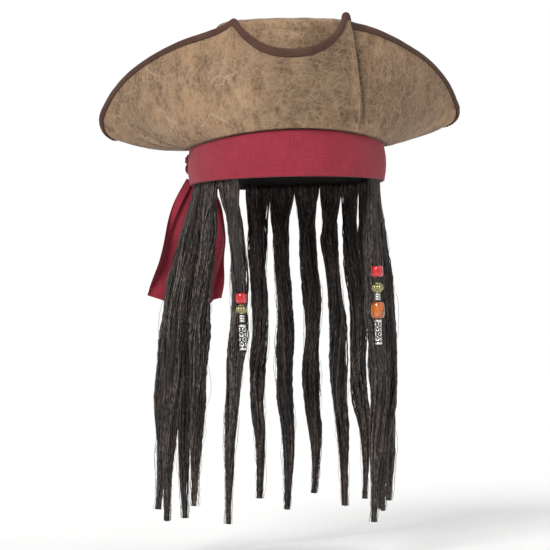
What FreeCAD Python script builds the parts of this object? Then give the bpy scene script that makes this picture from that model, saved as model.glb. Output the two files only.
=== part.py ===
"""Costume pirate hat: a cocked leather-look hat with a bandana, hanging dreadlocks and two bead strings.

Millimetres, +Z up, the front faces -Y and +X is on the right of someone facing the hat. The origin is the
middle of the head opening, a little above the front of the seam where brim, crown and bandana meet.
"""
import FreeCAD, Part

import math
import os

from FreeCAD import Vector

# ---------------------------------------------------------------- driving dimensions
OVAL_RATIO = 1.175          # front-to-back size of every oval, over its width
SEAM_FRONT = 3.5            # how far the crown seam lies below the origin in front
SEAM_DIP = 9.0              # how much further the crown seam drops at the sides
GAP = 0.3                   # air between neighbouring layers of cloth

CROWN_BASE_HALF_WIDTH = 90.5
CROWN_TOP_HALF_WIDTH = 65.0
CROWN_SIDE_HEIGHT = 93.0
CROWN_HEIGHT = 102.0
CROWN_WALL = 1.5
CROWN_RIM_RADIUS = 6.5
LINING_THICKNESS = 0.6
SWEATBAND_THICKNESS = 1.0
SWEATBAND_HEIGHT = 30.0

LEATHER_THICKNESS = 0.9
STIFFENER_THICKNESS = 1.6
BRIM_THICKNESS = 2 * LEATHER_THICKNESS + STIFFENER_THICKNESS + 2 * GAP
BRIM_BASE_HALF_WIDTH = CROWN_BASE_HALF_WIDTH + GAP + BRIM_THICKNESS
BINDING_WIDTH = 5.0         # on the wings and behind
BINDING_EXTRA_WIDTH = 2.4   # what it gains towards the middle of the front
BINDING_THICKNESS = 0.9

BAND_BOTTOM = -47.0
BAND_INNER_HALF_WIDTH = 89.4
BAND_THICKNESS = 2.4
BAND_BULGE = 1.8
WEFT_THICKNESS = 1.4
WEFT_HEIGHT = 24.0

LOCK_DIAMETER = 20.0
LOCK_ROOT_DROP = 0.6
STRING_DIAMETER = 2.0
BEAD_BORE = 2.6

BRIM_SAMPLES_PER_STATION = 2
BRIM_PATCHES = 16
BRIM_ROWS = 7
CROWN_ROWS = 16
OVAL_SAMPLES = 72

# Stations round the brim, by angle from the front, positive towards +X. Each gives the point of the free
# edge (x, forward, up), then how far the sheet runs outward before it turns up, and its rise there.
BRIM_STATIONS = [
    (-180, (0, -124, 80), 13, 18),
    (-164, (-42, -121, 75), 15, 16),
    (-149, (-82, -114, 60), 20, 11),
    (-136, (-116, -103, 39), 28, 3),
    (-126, (-142, -92, 17), 36, -1),
    (-119, (-160, -82, 5), 40, -2),
    (-113, (-171, -71, 10), 42, -2),
    (-108, (-174, -59, 23), 42, -2),
    (-102, (-167, -44, 38), 41, -2),
    (-94, (-158, -25, 50), 38, 0),
    (-86, (-145, 0, 62), 34, 2),
    (-77, (-129, 22, 72), 29, 6),
    (-68, (-115, 40, 78), 24, 11),
    (-59, (-100, 56, 83), 19, 17),
    (-52, (-84, 70, 87), 15, 22),
    (-46.5, (-70, 81, 91), 12, 26),
    (-43.5, (-62, 88, 94.5), 11, 28),
    (-41, (-56, 93, 97.5), 10, 29),
    (-38, (-52, 97, 92), 9, 29),
    (-34, (-45, 101, 84), 8, 29),
    (-26, (-33, 108, 74), 7, 27),
    (-16, (-19, 113, 68.5), 7, 26),
    (-5, (-4, 116, 67), 7, 25),
    (6, (12, 115, 69), 7, 25),
    (16, (26, 111, 75), 7, 27),
    (24, (36, 107, 83), 8, 30),
    (30, (43, 103, 92.5), 9, 32),
    (34, (47, 99, 101.5), 10, 35),
    (37.5, (53, 90, 95), 6, 33),
    (46, (71, 76, 91.5), 11, 26),
    (55, (90, 62, 86.5), 17, 19),
    (65, (107, 46, 81), 23, 12),
    (76, (126, 27, 73), 29, 7),
    (86, (144, 4, 63), 34, 4),
    (95, (160, -20, 50), 38, 2),
    (103, (172, -44, 36), 41, 1),
    (109, (178, -60, 26), 42, 2),
    (114, (176, -70, 17), 41, 2),
    (120, (164, -80, 14), 38, 2),
    (127, (147, -90, 25), 34, 2),
    (137, (122, -101, 43), 27, 5),
    (150, (87, -113, 61), 19, 11),
    (165, (45, -121, 75), 15, 16),
]

# The knot of the bandana, and the two tails that hang from it.
KNOT_ANGLE = -130.0
KNOT_HEIGHT = -23.0
KNOT_RADII = (11.0, 15.0, 12.0)
TAIL_THICKNESS = 1.6
TAIL_FRONT_LINES = [
    ((-88, 72, -38), (-80, 79, -38)),
    ((-101, 74, -60), (-80, 90, -64)),
    ((-114, 77, -93), (-87, 96.5, -99)),
    ((-122, 78.5, -122), (-94, 100, -130)),
    ((-128, 79.5, -150), (-99, 102.5, -161)),
]
TAIL_BACK_LINES = [
    ((-76, 84, -38), (-68, 88, -38)),
    ((-74, 94, -65), (-54, 105, -63)),
    ((-76, 101, -98), (-49, 115, -95)),
    ((-79, 105, -130), (-51, 119, -127)),
    ((-84, 108, -163), (-55, 122, -153)),
]

# Dreadlocks by name: the root's angle from the front, then the points of the route below the root, each
# as (outward from the root, sideways towards the back, up), all hand-set.
LOCK_ROOT_HALF_WIDTH = 81.5
LOCKS = {
    "lock_left_1": (-46, [(-4, -3, -105), (-2, -6, -170), (4, -2, -240), (7, 3, -305), (6, 6, -362)]),
    "lock_left_2": (-64, [(6, -2, -100), (13, 6, -165), (20, -2, -235), (20, 6, -300), (25, 2, -346)]),
    "lock_left_3": (-83, [(13, 4, -104), (27, -3, -170), (32, 5, -240), (39, 0, -306), (39, 6, -362)]),
    "lock_left_4": (-102, [(18, -2, -100), (33, 5, -166), (41, -3, -236), (43, 4, -304), (48, 0, -354)]),
    "lock_left_5": (-121, [(13, 3, -104), (24, -4, -170), (28, 4, -238), (34, -1, -304), (34, 3, -366)]),
    "lock_back_1": (-167, [(3, -3, -102), (9, 3, -170), (10, -3, -240), (16, 3, -306), (15, 0, -352)]),
    "lock_back_2": (177, [(5, 3, -106), (8, -3, -172), (14, 2, -238), (14, -4, -300), (18, 0, -364)]),
    "lock_back_3": (160, [(4, 2, -100), (10, -4, -166), (11, 4, -236), (17, -2, -302), (16, 3, -348)]),
    "lock_back_4": (143, [(4, 4, -104), (8, -3, -172), (14, 3, -238), (14, -3, -304), (18, 1, -360)]),
    "lock_right_5": (127, [(4, 3, -102), (10, -2, -168), (11, 4, -238), (17, -2, -302), (15, 2, -352)]),
    "lock_right_4": (111, [(5, 4, -106), (9, -3, -172), (14, 2, -240), (12, -4, -300), (15, 0, -362)]),
    "lock_right_3": (95, [(4, 2, -100), (11, -4, -168), (11, 3, -238), (14, -3, -304), (11, 1, -350)]),
    "lock_right_2": (79, [(4, 3, -106), (12, -2, -172), (11, 4, -238), (4, -2, -300), (0, 2, -356)]),
    "lock_right_1": (63, [(1, 2, -102), (6, -3, -168), (8, 3, -232), (2, -3, -300), (-3, 1, -366)]),
}

# Bead strings: the route of the cord (x, forward, up) and the pieces on it, from the top down.
STRING_LEFT_ROUTE = [(-56, 84.5, -48.5), (-56, 88, -80), (-54, 90, -126), (-52.8, 90, -185)]
STRING_RIGHT_ROUTE = [(73.5, 63.5, -48.5), (75.5, 69, -78), (74, 72, -112), (74, 72, -180)]
STRING_LEFT_PIECES = [
    ("bead_left_red", "barrel", -156.0, 5.0, 9.6),
    ("bead_left_gold", "ribbed", -166.0, 5.5, 8.4),
    ("bead_left_silver", "spacer", -174.5, 2.6, 6.8),
    ("charm_left", "charm", -191.5, 3.7, 23.4),
]
STRING_RIGHT_PIECES = [
    ("bead_right_red", "barrel", -133.6, 5.5, 10.2),
    ("bead_right_gold", "ribbed", -148.5, 5.6, 9.2),
    ("bead_right_silver", "spacer", -157.0, 2.7, 6.6),
    ("bead_right_amber", "barrel", -169.2, 6.2, 15.2),
    ("charm_right", "charm", -189.2, 3.5, 23.2),
]


# ---------------------------------------------------------------- geometry helpers
def export(shape, name):
    """Check one closed solid and write it to its own STEP file."""
    if not shape.isValid() or shape.Volume <= 0:
        raise ValueError(name + " is not a sound solid")
    shape.exportStep("parts/" + name + ".step")
    print(name, "solids", len(shape.Solids), "volume", round(shape.Volume))


def oval_point(half_width, angle, height):
    """A point on the oval of the given half width; the angle is in degrees from the front."""
    turn = math.radians(angle)
    return Vector(half_width * math.sin(turn), -half_width * OVAL_RATIO * math.cos(turn), height)


def outward(angle):
    """The level unit vector square to the head oval at this angle."""
    turn = math.radians(angle)
    normal = Vector(math.sin(turn) * OVAL_RATIO, -math.cos(turn), 0)
    return normal.normalize()


def seam_height(angle):
    """The seam of brim and crown is level in front and behind, and dips at the sides."""
    return -SEAM_FRONT - SEAM_DIP * math.sin(math.radians(angle)) ** 2


def strip_faces(rows, patches=1):
    """Patches side by side through closed rows: a closed cubic round the rows, smooth from row to row."""
    count = len(rows[0])
    degree = min(3, len(rows) - 1)
    poles = [[row[i] for row in rows] for i in range(count)]
    spans = len(rows) - degree
    knots_round = [float(i) for i in range(count + 1)]
    knots_up = [float(i) for i in range(spans + 1)]
    mults_up = [degree + 1] + [1] * (spans - 1) + [degree + 1]
    ends = [round(count * patch / patches) for patch in range(patches + 1)]
    faces = []
    for first, last in zip(ends, ends[1:]):
        surface = Part.BSplineSurface()
        surface.buildFromPolesMultsKnots(
            poles, [1] * (count + 1), mults_up, knots_round, knots_up, True, False, 3, degree
        )
        if patches > 1:
            surface.segment(first, last, 0, spans)
        faces.append(surface.toShape())
    return faces


def solid_of_faces(faces):
    """A closed solid whose skin is the given faces, which meet edge to edge."""
    shell = Part.Shell(faces)
    shell.sewShape()
    solid = Part.Solid(shell)
    if solid.Volume < 0:
        solid.reverse()
    return solid


def solid_of_strips(strips, patches=1):
    """A closed solid whose skin is a chain of strips, each starting on the row where the last one ends."""
    return solid_of_faces([face for rows in strips for face in strip_faces(rows, patches)])


def sheet_solid(face_rows, back_rows, patches=1):
    """A sheet between two skins of rows, closed by a ring at each end."""
    return solid_of_strips([
        face_rows,
        [face_rows[-1], back_rows[-1]],
        back_rows[::-1],
        [back_rows[0], face_rows[0]],
    ], patches)


def oval_angles():
    return [360.0 * i / OVAL_SAMPLES for i in range(OVAL_SAMPLES)]


def oval_scale():
    """The stretch that turns a round shape into an oval one."""
    matrix = FreeCAD.Matrix()
    matrix.scale(Vector(1, OVAL_RATIO, 1))
    return matrix


def turned(profile, centre=Vector(0, 0, 0)):
    """A solid turned from an outline of (radius, height) points about a vertical line."""
    points = [Vector(radius, 0, height) for radius, height in profile]
    face = Part.Face(Part.makePolygon(points + points[:1]))
    solid = face.revolve(Vector(0, 0, 0), Vector(0, 0, 1), 360)
    solid.translate(centre)
    return solid


# ---------------------------------------------------------------- crown
def crown_half_width(height):
    """Half width of the crown's outer face: it leans in, a little faster towards the top."""
    share = max(0.0, height) / CROWN_SIDE_HEIGHT
    return CROWN_BASE_HALF_WIDTH - (CROWN_BASE_HALF_WIDTH - CROWN_TOP_HALF_WIDTH) * share ** 1.15


def crown_rows(depth, lift, top):
    """Rows up the crown wall, set in from its outer face, from the seam plus a lift up to a level top."""
    rows = []
    for step in range(CROWN_ROWS):
        share = step / (CROWN_ROWS - 1)
        row = []
        for angle in oval_angles():
            low = seam_height(angle) + lift
            height = low + (top - low) * share
            row.append(oval_point(crown_half_width(height) - depth, angle, height))
        rows.append(row)
    return rows


def make_crown_side():
    return sheet_solid(crown_rows(0, 0, CROWN_SIDE_HEIGHT), crown_rows(CROWN_WALL, 0, CROWN_SIDE_HEIGHT))


def cap_rows(depth):
    """Rows from the rim of the domed top to a small level round in its middle, set in by the depth."""
    radius = CROWN_RIM_RADIUS - depth
    bend = (CROWN_TOP_HALF_WIDTH - CROWN_RIM_RADIUS, CROWN_HEIGHT - 2.5 - CROWN_RIM_RADIUS)
    section = [(CROWN_TOP_HALF_WIDTH - depth, CROWN_SIDE_HEIGHT + 0.1)]
    for step in range(6):
        turn = math.radians(18 * step)
        section.append((bend[0] + radius * math.cos(turn), bend[1] + radius * math.sin(turn)))
    for share, drop in ((0.7, 1.5), (0.45, 0.5), (0.25, 0.0), (0.12, 0.0)):
        section.append((CROWN_TOP_HALF_WIDTH * share, CROWN_HEIGHT - depth - drop))
    return [[oval_point(half_width, angle, height) for angle in oval_angles()] for half_width, height in section]


def level_face(row):
    """The flat face inside a closed level row of points."""
    count = len(row)
    curve = Part.BSplineCurve()
    curve.buildFromPolesMultsKnots(row, [1] * (count + 1), [float(i) for i in range(count + 1)], True, 3)
    return Part.Face(Part.Wire(curve.toShape()))


def make_crown_top():
    """The domed top: a thin cap, open underneath."""
    outer = cap_rows(0)
    inner = cap_rows(CROWN_WALL)
    faces = strip_faces(outer) + strip_faces(inner) + strip_faces([outer[0], inner[0]])
    faces += [level_face(outer[-1]), level_face(inner[-1])]
    return solid_of_faces(faces)


def make_lining_side():
    depth = CROWN_WALL + GAP
    top = CROWN_SIDE_HEIGHT - 4
    return sheet_solid(crown_rows(depth, 1, top), crown_rows(depth + LINING_THICKNESS, 1, top))


def make_lining_top():
    """The flat round of lining that closes the lining's side, under the domed top."""
    radius = CROWN_TOP_HALF_WIDTH - CROWN_WALL - GAP
    base = CROWN_SIDE_HEIGHT - 4 + 0.1
    outline = [(0, base), (radius, base), (radius, base + LINING_THICKNESS), (0, base + LINING_THICKNESS)]
    return turned(outline).transformGeometry(oval_scale())


def make_sweatband():
    depth = CROWN_WALL + 2 * GAP + LINING_THICKNESS
    return sheet_solid(
        crown_rows(depth, 1.5, SWEATBAND_HEIGHT),
        crown_rows(depth + SWEATBAND_THICKNESS, 1.5, SWEATBAND_HEIGHT),
    )


# ---------------------------------------------------------------- brim
def through(before, start, end, after, share):
    """Smooth value between start and end, heading the way their neighbours lead."""
    tension = 0.5 * (end - before)
    release = 0.5 * (after - start)
    square = share * share
    cube = square * share
    return (
        start * (2 * cube - 3 * square + 1)
        + tension * (cube - 2 * square + share)
        + end * (3 * square - 2 * cube)
        + release * (cube - square)
    )


def station_values(index):
    """One station's angle, edge, run and rise as plain numbers; the angle grows by 360 every turn."""
    laps, place = divmod(index, len(BRIM_STATIONS))
    angle, edge, run, rise = BRIM_STATIONS[place]
    return [angle + 360 * laps, edge[0], edge[1], edge[2], run, rise]


def brim_section(position):
    """Base, turning point and edge of the brim's outer face at a position counted in stations."""
    index = math.floor(position)
    share = position - index
    rows = [station_values(index + step) for step in (-1, 0, 1, 2)]
    angle, x, forward, up, run, rise = [through(*column, share) for column in zip(*rows)]
    base = oval_point(BRIM_BASE_HALF_WIDTH, angle, seam_height(angle))
    turning = base + outward(angle) * run + Vector(0, 0, rise)
    return base, turning, Vector(x, -forward, up)


def brim_point(position, share):
    """A point of the outer face: share 0 is at the crown seam and 1 is the free edge."""
    base, turning, edge = brim_section(position)
    return base * (1 - share) ** 2 + turning * (2 * share * (1 - share)) + edge * share ** 2


def brim_normal(position, share):
    """The unit vector square to the brim that points to its inner face, at the crown's side."""
    step = 0.02
    along = brim_point(position + step, share) - brim_point(position - step, share)
    upward = brim_point(position, share + step) - brim_point(position, share - step)
    return along.cross(upward).normalize() * -1


def brim_positions():
    count = len(BRIM_STATIONS) * BRIM_SAMPLES_PER_STATION
    return [i / BRIM_SAMPLES_PER_STATION for i in range(count)]


def brim_rows(depth):
    """Rows from seam to edge, set in from the outer face by the given depth."""
    rows = []
    for step in range(BRIM_ROWS):
        share = step / (BRIM_ROWS - 1)
        rows.append([brim_point(p, share) + brim_normal(p, share) * depth for p in brim_positions()])
    return rows


def make_brim_layer(depth, thickness):
    return sheet_solid(brim_rows(depth), brim_rows(depth + thickness), BRIM_PATCHES)


def binding_width(position):
    """The tape's visible width at a position counted in stations."""
    index = math.floor(position)
    before = station_values(index)[0]
    after = station_values(index + 1)[0]
    angle = before + (after - before) * (position - index)
    return BINDING_WIDTH + BINDING_EXTRA_WIDTH * max(0.0, math.cos(math.radians(angle))) ** 2


def binding_row(share_back, depth):
    """A row at a share of the tape's width back from the free edge, or mm beyond it where negative."""
    row = []
    for position in brim_positions():
        base, turning, edge = brim_section(position)
        slope = (edge - turning) * 2
        share = 1 - max(0.0, share_back) * binding_width(position) / slope.Length
        point = brim_point(position, share) + brim_normal(position, share) * depth
        if share_back < 0:
            point += slope.normalize() * -share_back
        row.append(point)
    return row


def make_binding():
    """Folded tape over the brim's edge, a U in section."""
    near = -GAP
    far = BRIM_THICKNESS + GAP
    outer_near = near - BINDING_THICKNESS
    outer_far = far + BINDING_THICKNESS
    lip = -0.5
    fold = lip - BINDING_THICKNESS
    return solid_of_strips([
        [binding_row(1, near), binding_row(0.5, near), binding_row(lip, near)],
        [binding_row(lip, near), binding_row(lip, far)],
        [binding_row(lip, far), binding_row(0.5, far), binding_row(1, far)],
        [binding_row(1, far), binding_row(1, outer_far)],
        [binding_row(1, outer_far), binding_row(0.5, outer_far), binding_row(fold, outer_far)],
        [binding_row(fold, outer_far), binding_row(fold, outer_near)],
        [binding_row(fold, outer_near), binding_row(0.5, outer_near), binding_row(1, outer_near)],
        [binding_row(1, outer_near), binding_row(1, near)],
    ], BRIM_PATCHES)


# ---------------------------------------------------------------- bandana
def band_rows(extra):
    """Rows down the bandana's band, which swells a little half way down."""
    rows = []
    for step in range(6):
        share = step / 5
        swell = BAND_BULGE * math.sin(math.pi * share)
        row = []
        for angle in oval_angles():
            top = seam_height(angle) - 0.6
            height = top + (BAND_BOTTOM - top) * share
            row.append(oval_point(BAND_INNER_HALF_WIDTH + swell + extra, angle, height))
        rows.append(row)
    return rows


def make_band():
    return sheet_solid(band_rows(0), band_rows(BAND_THICKNESS))


def make_weft():
    """The tape inside the band's lower edge that the dreadlocks are sewn to."""
    inner = BAND_INNER_HALF_WIDTH - GAP - WEFT_THICKNESS
    outer = BAND_INNER_HALF_WIDTH - GAP
    top = BAND_BOTTOM + WEFT_HEIGHT
    outline = [(inner, BAND_BOTTOM), (outer, BAND_BOTTOM), (outer, top), (inner, top)]
    return turned(outline).transformGeometry(oval_scale())


def make_knot():
    """The tied lump of cloth, standing on the band at the back left."""
    depth, width, height = KNOT_RADII
    lump = Part.makeSphere(1)
    stretch = FreeCAD.Matrix()
    stretch.scale(Vector(depth, width, height))
    lump = lump.transformGeometry(stretch)
    direction = outward(KNOT_ANGLE)
    lump.rotate(Vector(0, 0, 0), Vector(0, 0, 1), math.degrees(math.atan2(direction.y, direction.x)))
    reach = BAND_INNER_HALF_WIDTH + BAND_THICKNESS + BAND_BULGE
    lump.translate(oval_point(reach, KNOT_ANGLE, KNOT_HEIGHT) + direction * (depth + GAP))
    return lump


def make_tail(lines):
    """One hanging end: a strip of cloth through level lines, each from its front edge to its back edge."""
    half = TAIL_THICKNESS / 2
    sections = []
    for start, end in lines:
        first = Vector(start[0], start[1], start[2])
        last = Vector(end[0], end[1], end[2])
        across = (last - first).normalize()
        side = across.cross(Vector(0, 0, 1)).normalize() * half
        corners = [first + side, last + side, last - side, first - side]
        sections.append(Part.makePolygon(corners + corners[:1]))
    return Part.makeLoft(sections, True, False)


# ---------------------------------------------------------------- cords
def rounded_path(points, name):
    """Straight runs joined by arcs as large as the runs allow; prints the radii, returns path and length."""
    edges = []
    radii = []
    here = points[0]
    for before, corner, after in zip(points, points[1:], points[2:]):
        arriving = (corner - before).normalize()
        leaving = (after - corner).normalize()
        turn = arriving.getAngle(leaving)
        trim = 0.45 * min((corner - before).Length, (after - corner).Length)
        radii.append(trim / math.tan(turn / 2))
        start = corner - arriving * trim
        end = corner + leaving * trim
        bend = (leaving - arriving).normalize()
        middle = corner + bend * radii[-1] * (1 / math.cos(turn / 2) - 1)
        edges.append(Part.LineSegment(here, start).toShape())
        edges.append(Part.Arc(start, middle, end).toShape())
        here = end
    edges.append(Part.LineSegment(here, points[-1]).toShape())
    length = sum(edge.Length for edge in edges)
    print(name, "length", round(length, 1), "radii", [round(radius) for radius in radii])
    return Part.Wire(edges), length


def make_tube(points, diameter, name):
    """A round tube along the route; its volume is compared with its section times its length."""
    path, length = rounded_path(points, name)
    direction = (points[1] - points[0]).normalize()
    ring = Part.Wire(Part.makeCircle(diameter / 2, points[0], direction))
    tube = path.makePipeShell([ring], True, False)
    expected = math.pi * diameter ** 2 / 4 * length
    if abs(tube.Volume / expected - 1) > 0.01:
        raise ValueError(name + " tube has the wrong volume")
    return tube


def lock_root(angle):
    radius = LOCK_DIAMETER / 2
    return oval_point(LOCK_ROOT_HALF_WIDTH, angle, BAND_BOTTOM - LOCK_ROOT_DROP - radius)


def lock_points(angle, route):
    """The lock's route: outward and sideways steps are taken square to and along the head oval."""
    root = lock_root(angle)
    away = outward(angle)
    back = away.cross(Vector(0, 0, 1)) * (1 if angle < 0 else -1)
    points = [root]
    for out, side, height in route:
        points.append(Vector(root.x, root.y, height) + away * out + back * side)
    return points


def make_lock(angle, route, name):
    """One dreadlock: a round-topped tube, so that it turns at its root without lifting the band."""
    points = lock_points(angle, route)
    tube = make_tube(points, LOCK_DIAMETER, name)
    upward = (points[0] - points[1]).normalize()
    dome = Part.makeSphere(LOCK_DIAMETER / 2, points[0], upward, 0, 90, 360)
    return tube.fuse(dome)


def forward_points(route):
    return [Vector(x, -forward, up) for x, forward, up in route]


# ---------------------------------------------------------------- beads
def barrel_outline(radius, length):
    """A barrel with rounded ends."""
    half = length / 2
    outline = [(BEAD_BORE / 2, -half), (radius * 0.72, -half)]
    for step in range(9):
        share = -1 + step / 4
        outline.append((radius * (1 - 0.16 * share ** 4), half * share * 0.9))
    outline += [(radius * 0.72, half), (BEAD_BORE / 2, half)]
    return outline


def make_ribbed(radius, length):
    """A round metal bead cut by upright grooves."""
    outline = [(BEAD_BORE / 2, -length / 2)]
    for step in range(9):
        turn = math.radians(-64 + 16 * step)
        outline.append((radius * math.cos(turn), length / 2 * math.sin(turn) / math.sin(math.radians(64))))
    outline.append((BEAD_BORE / 2, length / 2))
    bead = turned(outline)
    for step in range(10):
        groove = Part.makeCylinder(0.55, length, Vector(radius, 0, -length / 2))
        groove.rotate(Vector(0, 0, 0), Vector(0, 0, 1), 36 * step)
        bead = bead.cut(groove)
    return bead


def spacer_outline(radius, length):
    """Two small discs with a waist between them."""
    half = length / 2
    waist = radius * 0.7
    return [
        (BEAD_BORE / 2, -half), (radius, -half), (radius, -half * 0.45), (waist, -half * 0.2),
        (waist, half * 0.2), (radius, half * 0.45), (radius, half), (BEAD_BORE / 2, half),
    ]


def make_charm(radius, length):
    """A slim metal sleeve that swells at both ends, closed at the bottom, with the cord let into its top."""
    half = length / 2
    outline = [(0, -half), (radius * 0.6, -half), (radius, -half * 0.86), (radius * 0.86, -half * 0.7)]
    outline += [(radius * 0.86, half * 0.7), (radius, half * 0.86), (radius * 0.7, half)]
    outline += [(BEAD_BORE / 2, half), (BEAD_BORE / 2, half - 6), (0, half - 6)]
    return turned(outline)


def make_bead(kind, radius, length):
    if kind == "barrel":
        return turned(barrel_outline(radius, length))
    if kind == "ribbed":
        return make_ribbed(radius, length)
    if kind == "spacer":
        return turned(spacer_outline(radius, length))
    return make_charm(radius, length)


def place_on_string(shape, points, height):
    """Put a bead's middle on the string's last straight run, at the given height, in line with it."""
    upper, lower = points[-2], points[-1]
    share = (height - upper.z) / (lower.z - upper.z)
    direction = (upper - lower).normalize()
    turn = FreeCAD.Rotation(Vector(0, 0, 1), direction)
    shape.Placement = FreeCAD.Placement(upper + (lower - upper) * share, turn).multiply(shape.Placement)
    return shape


def export_string(side, route, pieces):
    points = forward_points(route)
    name = "string_" + side
    export(make_tube(points, STRING_DIAMETER, name), name)
    for piece, kind, height, radius, length in pieces:
        export(place_on_string(make_bead(kind, radius, length), points, height), piece)


# ---------------------------------------------------------------- all parts
def main():
    os.makedirs("parts", exist_ok=True)
    export(make_crown_side(), "crown_side")
    export(make_crown_top(), "crown_top")
    export(make_lining_side(), "lining_side")
    export(make_lining_top(), "lining_top")
    export(make_sweatband(), "sweatband")
    stiffener_depth = LEATHER_THICKNESS + GAP
    inner_depth = stiffener_depth + STIFFENER_THICKNESS + GAP
    export(make_brim_layer(0, LEATHER_THICKNESS), "brim_outer")
    export(make_brim_layer(stiffener_depth, STIFFENER_THICKNESS), "brim_stiffener")
    export(make_brim_layer(inner_depth, LEATHER_THICKNESS), "brim_inner")
    export(make_binding(), "brim_binding")
    export(make_band(), "bandana_band")
    export(make_knot(), "bandana_knot")
    export(make_tail(TAIL_FRONT_LINES), "bandana_tail_front")
    export(make_tail(TAIL_BACK_LINES), "bandana_tail_back")
    export(make_weft(), "hair_weft")
    for name, (angle, route) in LOCKS.items():
        export(make_lock(angle, route, name), name)
    export_string("left", STRING_LEFT_ROUTE, STRING_LEFT_PIECES)
    export_string("right", STRING_RIGHT_ROUTE, STRING_RIGHT_PIECES)


main()
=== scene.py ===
"""The looks of the costume pirate hat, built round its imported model.

Metres, +Z up, and the front faces -Y. Angles are in degrees from the front, positive towards +X.
"""
import math

import bpy
import numpy as np
from mathutils import Matrix, Vector, noise


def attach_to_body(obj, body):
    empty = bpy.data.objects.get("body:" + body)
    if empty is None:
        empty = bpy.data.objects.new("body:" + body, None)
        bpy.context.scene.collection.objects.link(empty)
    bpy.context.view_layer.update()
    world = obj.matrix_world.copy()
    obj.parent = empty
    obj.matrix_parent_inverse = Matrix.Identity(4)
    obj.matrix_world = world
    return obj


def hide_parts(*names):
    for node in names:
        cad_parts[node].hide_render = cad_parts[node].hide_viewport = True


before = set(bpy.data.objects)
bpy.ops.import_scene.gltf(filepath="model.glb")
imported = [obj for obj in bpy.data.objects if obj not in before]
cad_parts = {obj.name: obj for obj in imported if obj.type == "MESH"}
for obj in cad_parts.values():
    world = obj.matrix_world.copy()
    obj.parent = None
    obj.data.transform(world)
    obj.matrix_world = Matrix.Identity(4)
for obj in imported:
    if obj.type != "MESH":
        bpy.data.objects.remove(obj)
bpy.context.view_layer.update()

# ---------------------------------------------------------------- driving dimensions
# The head oval's depth over its width. CROWN_BASE, CROWN_TOP, BRIM_BASE, BAND_INNER, WEFT_INNER, LOCK_ROOT
# and KNOT_REACH are half widths of it.
OVAL_RATIO = 1.175
SEAM_FRONT = 0.0035
SEAM_DIP = 0.009
CROWN_BASE = 0.0905
CROWN_TOP = 0.065
CROWN_SIDE_TOP = 0.093
CROWN_HEIGHT = 0.102
CROWN_WALL = 0.0015
CROWN_RIM_RADIUS = 0.0065
# The crown's top is domed a little and dented in the middle. Its edge stands higher at the sides.
CROWN_DOME = 0.0025
CROWN_DENT = 0.0035
CROWN_SLUMP = 0.008
CROWN_SLUMP_LEVEL = 0.0028
# The brim's outer face starts at the base. Depths are measured from that face towards the crown.
BRIM_BASE = 0.0948
LEATHER = 0.0009
INNER_LEATHER_DEPTH = 0.0031
BRIM_THICKNESS = 0.004
BINDING_WIDTH = 0.005
BINDING_EXTRA_WIDTH = 0.0024
BINDING = 0.0009
BINDING_STITCHES = 300
BINDING_STITCH_ROW = 0.82
EDGE_COLUMNS = 12
BAND_BOTTOM = -0.047
BAND_INNER = 0.0894
BAND_THICKNESS = 0.0024
BAND_BULGE = 0.0018
WEFT_INNER = 0.0877
# A dreadlock is made of clumps of strands round a core, with loose hairs outside them.
LOCK_ROOT = 0.0815
LOCK_RINGS = 112
LOCK_CLUMPS = 7
STRANDS_PER_CLUMP = 10
LOOSE_HAIRS = 18
LOOSE_HAIR_RADIUS = 0.00016
CLUMP_REACH = 0.0053
STRAND_REACH = 0.0034
CRINKLE = 0.0022
CORE_RADIUS = 0.0062
ROOT_HALF_WIDTH = 0.0125
ROOT_LIFT = 0.0035
STRING_PLIES = 3
STRING_PLY_RADIUS = 0.00052
STRING_TWIST = 0.0055
BEAD_BORE = 0.0013

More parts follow.
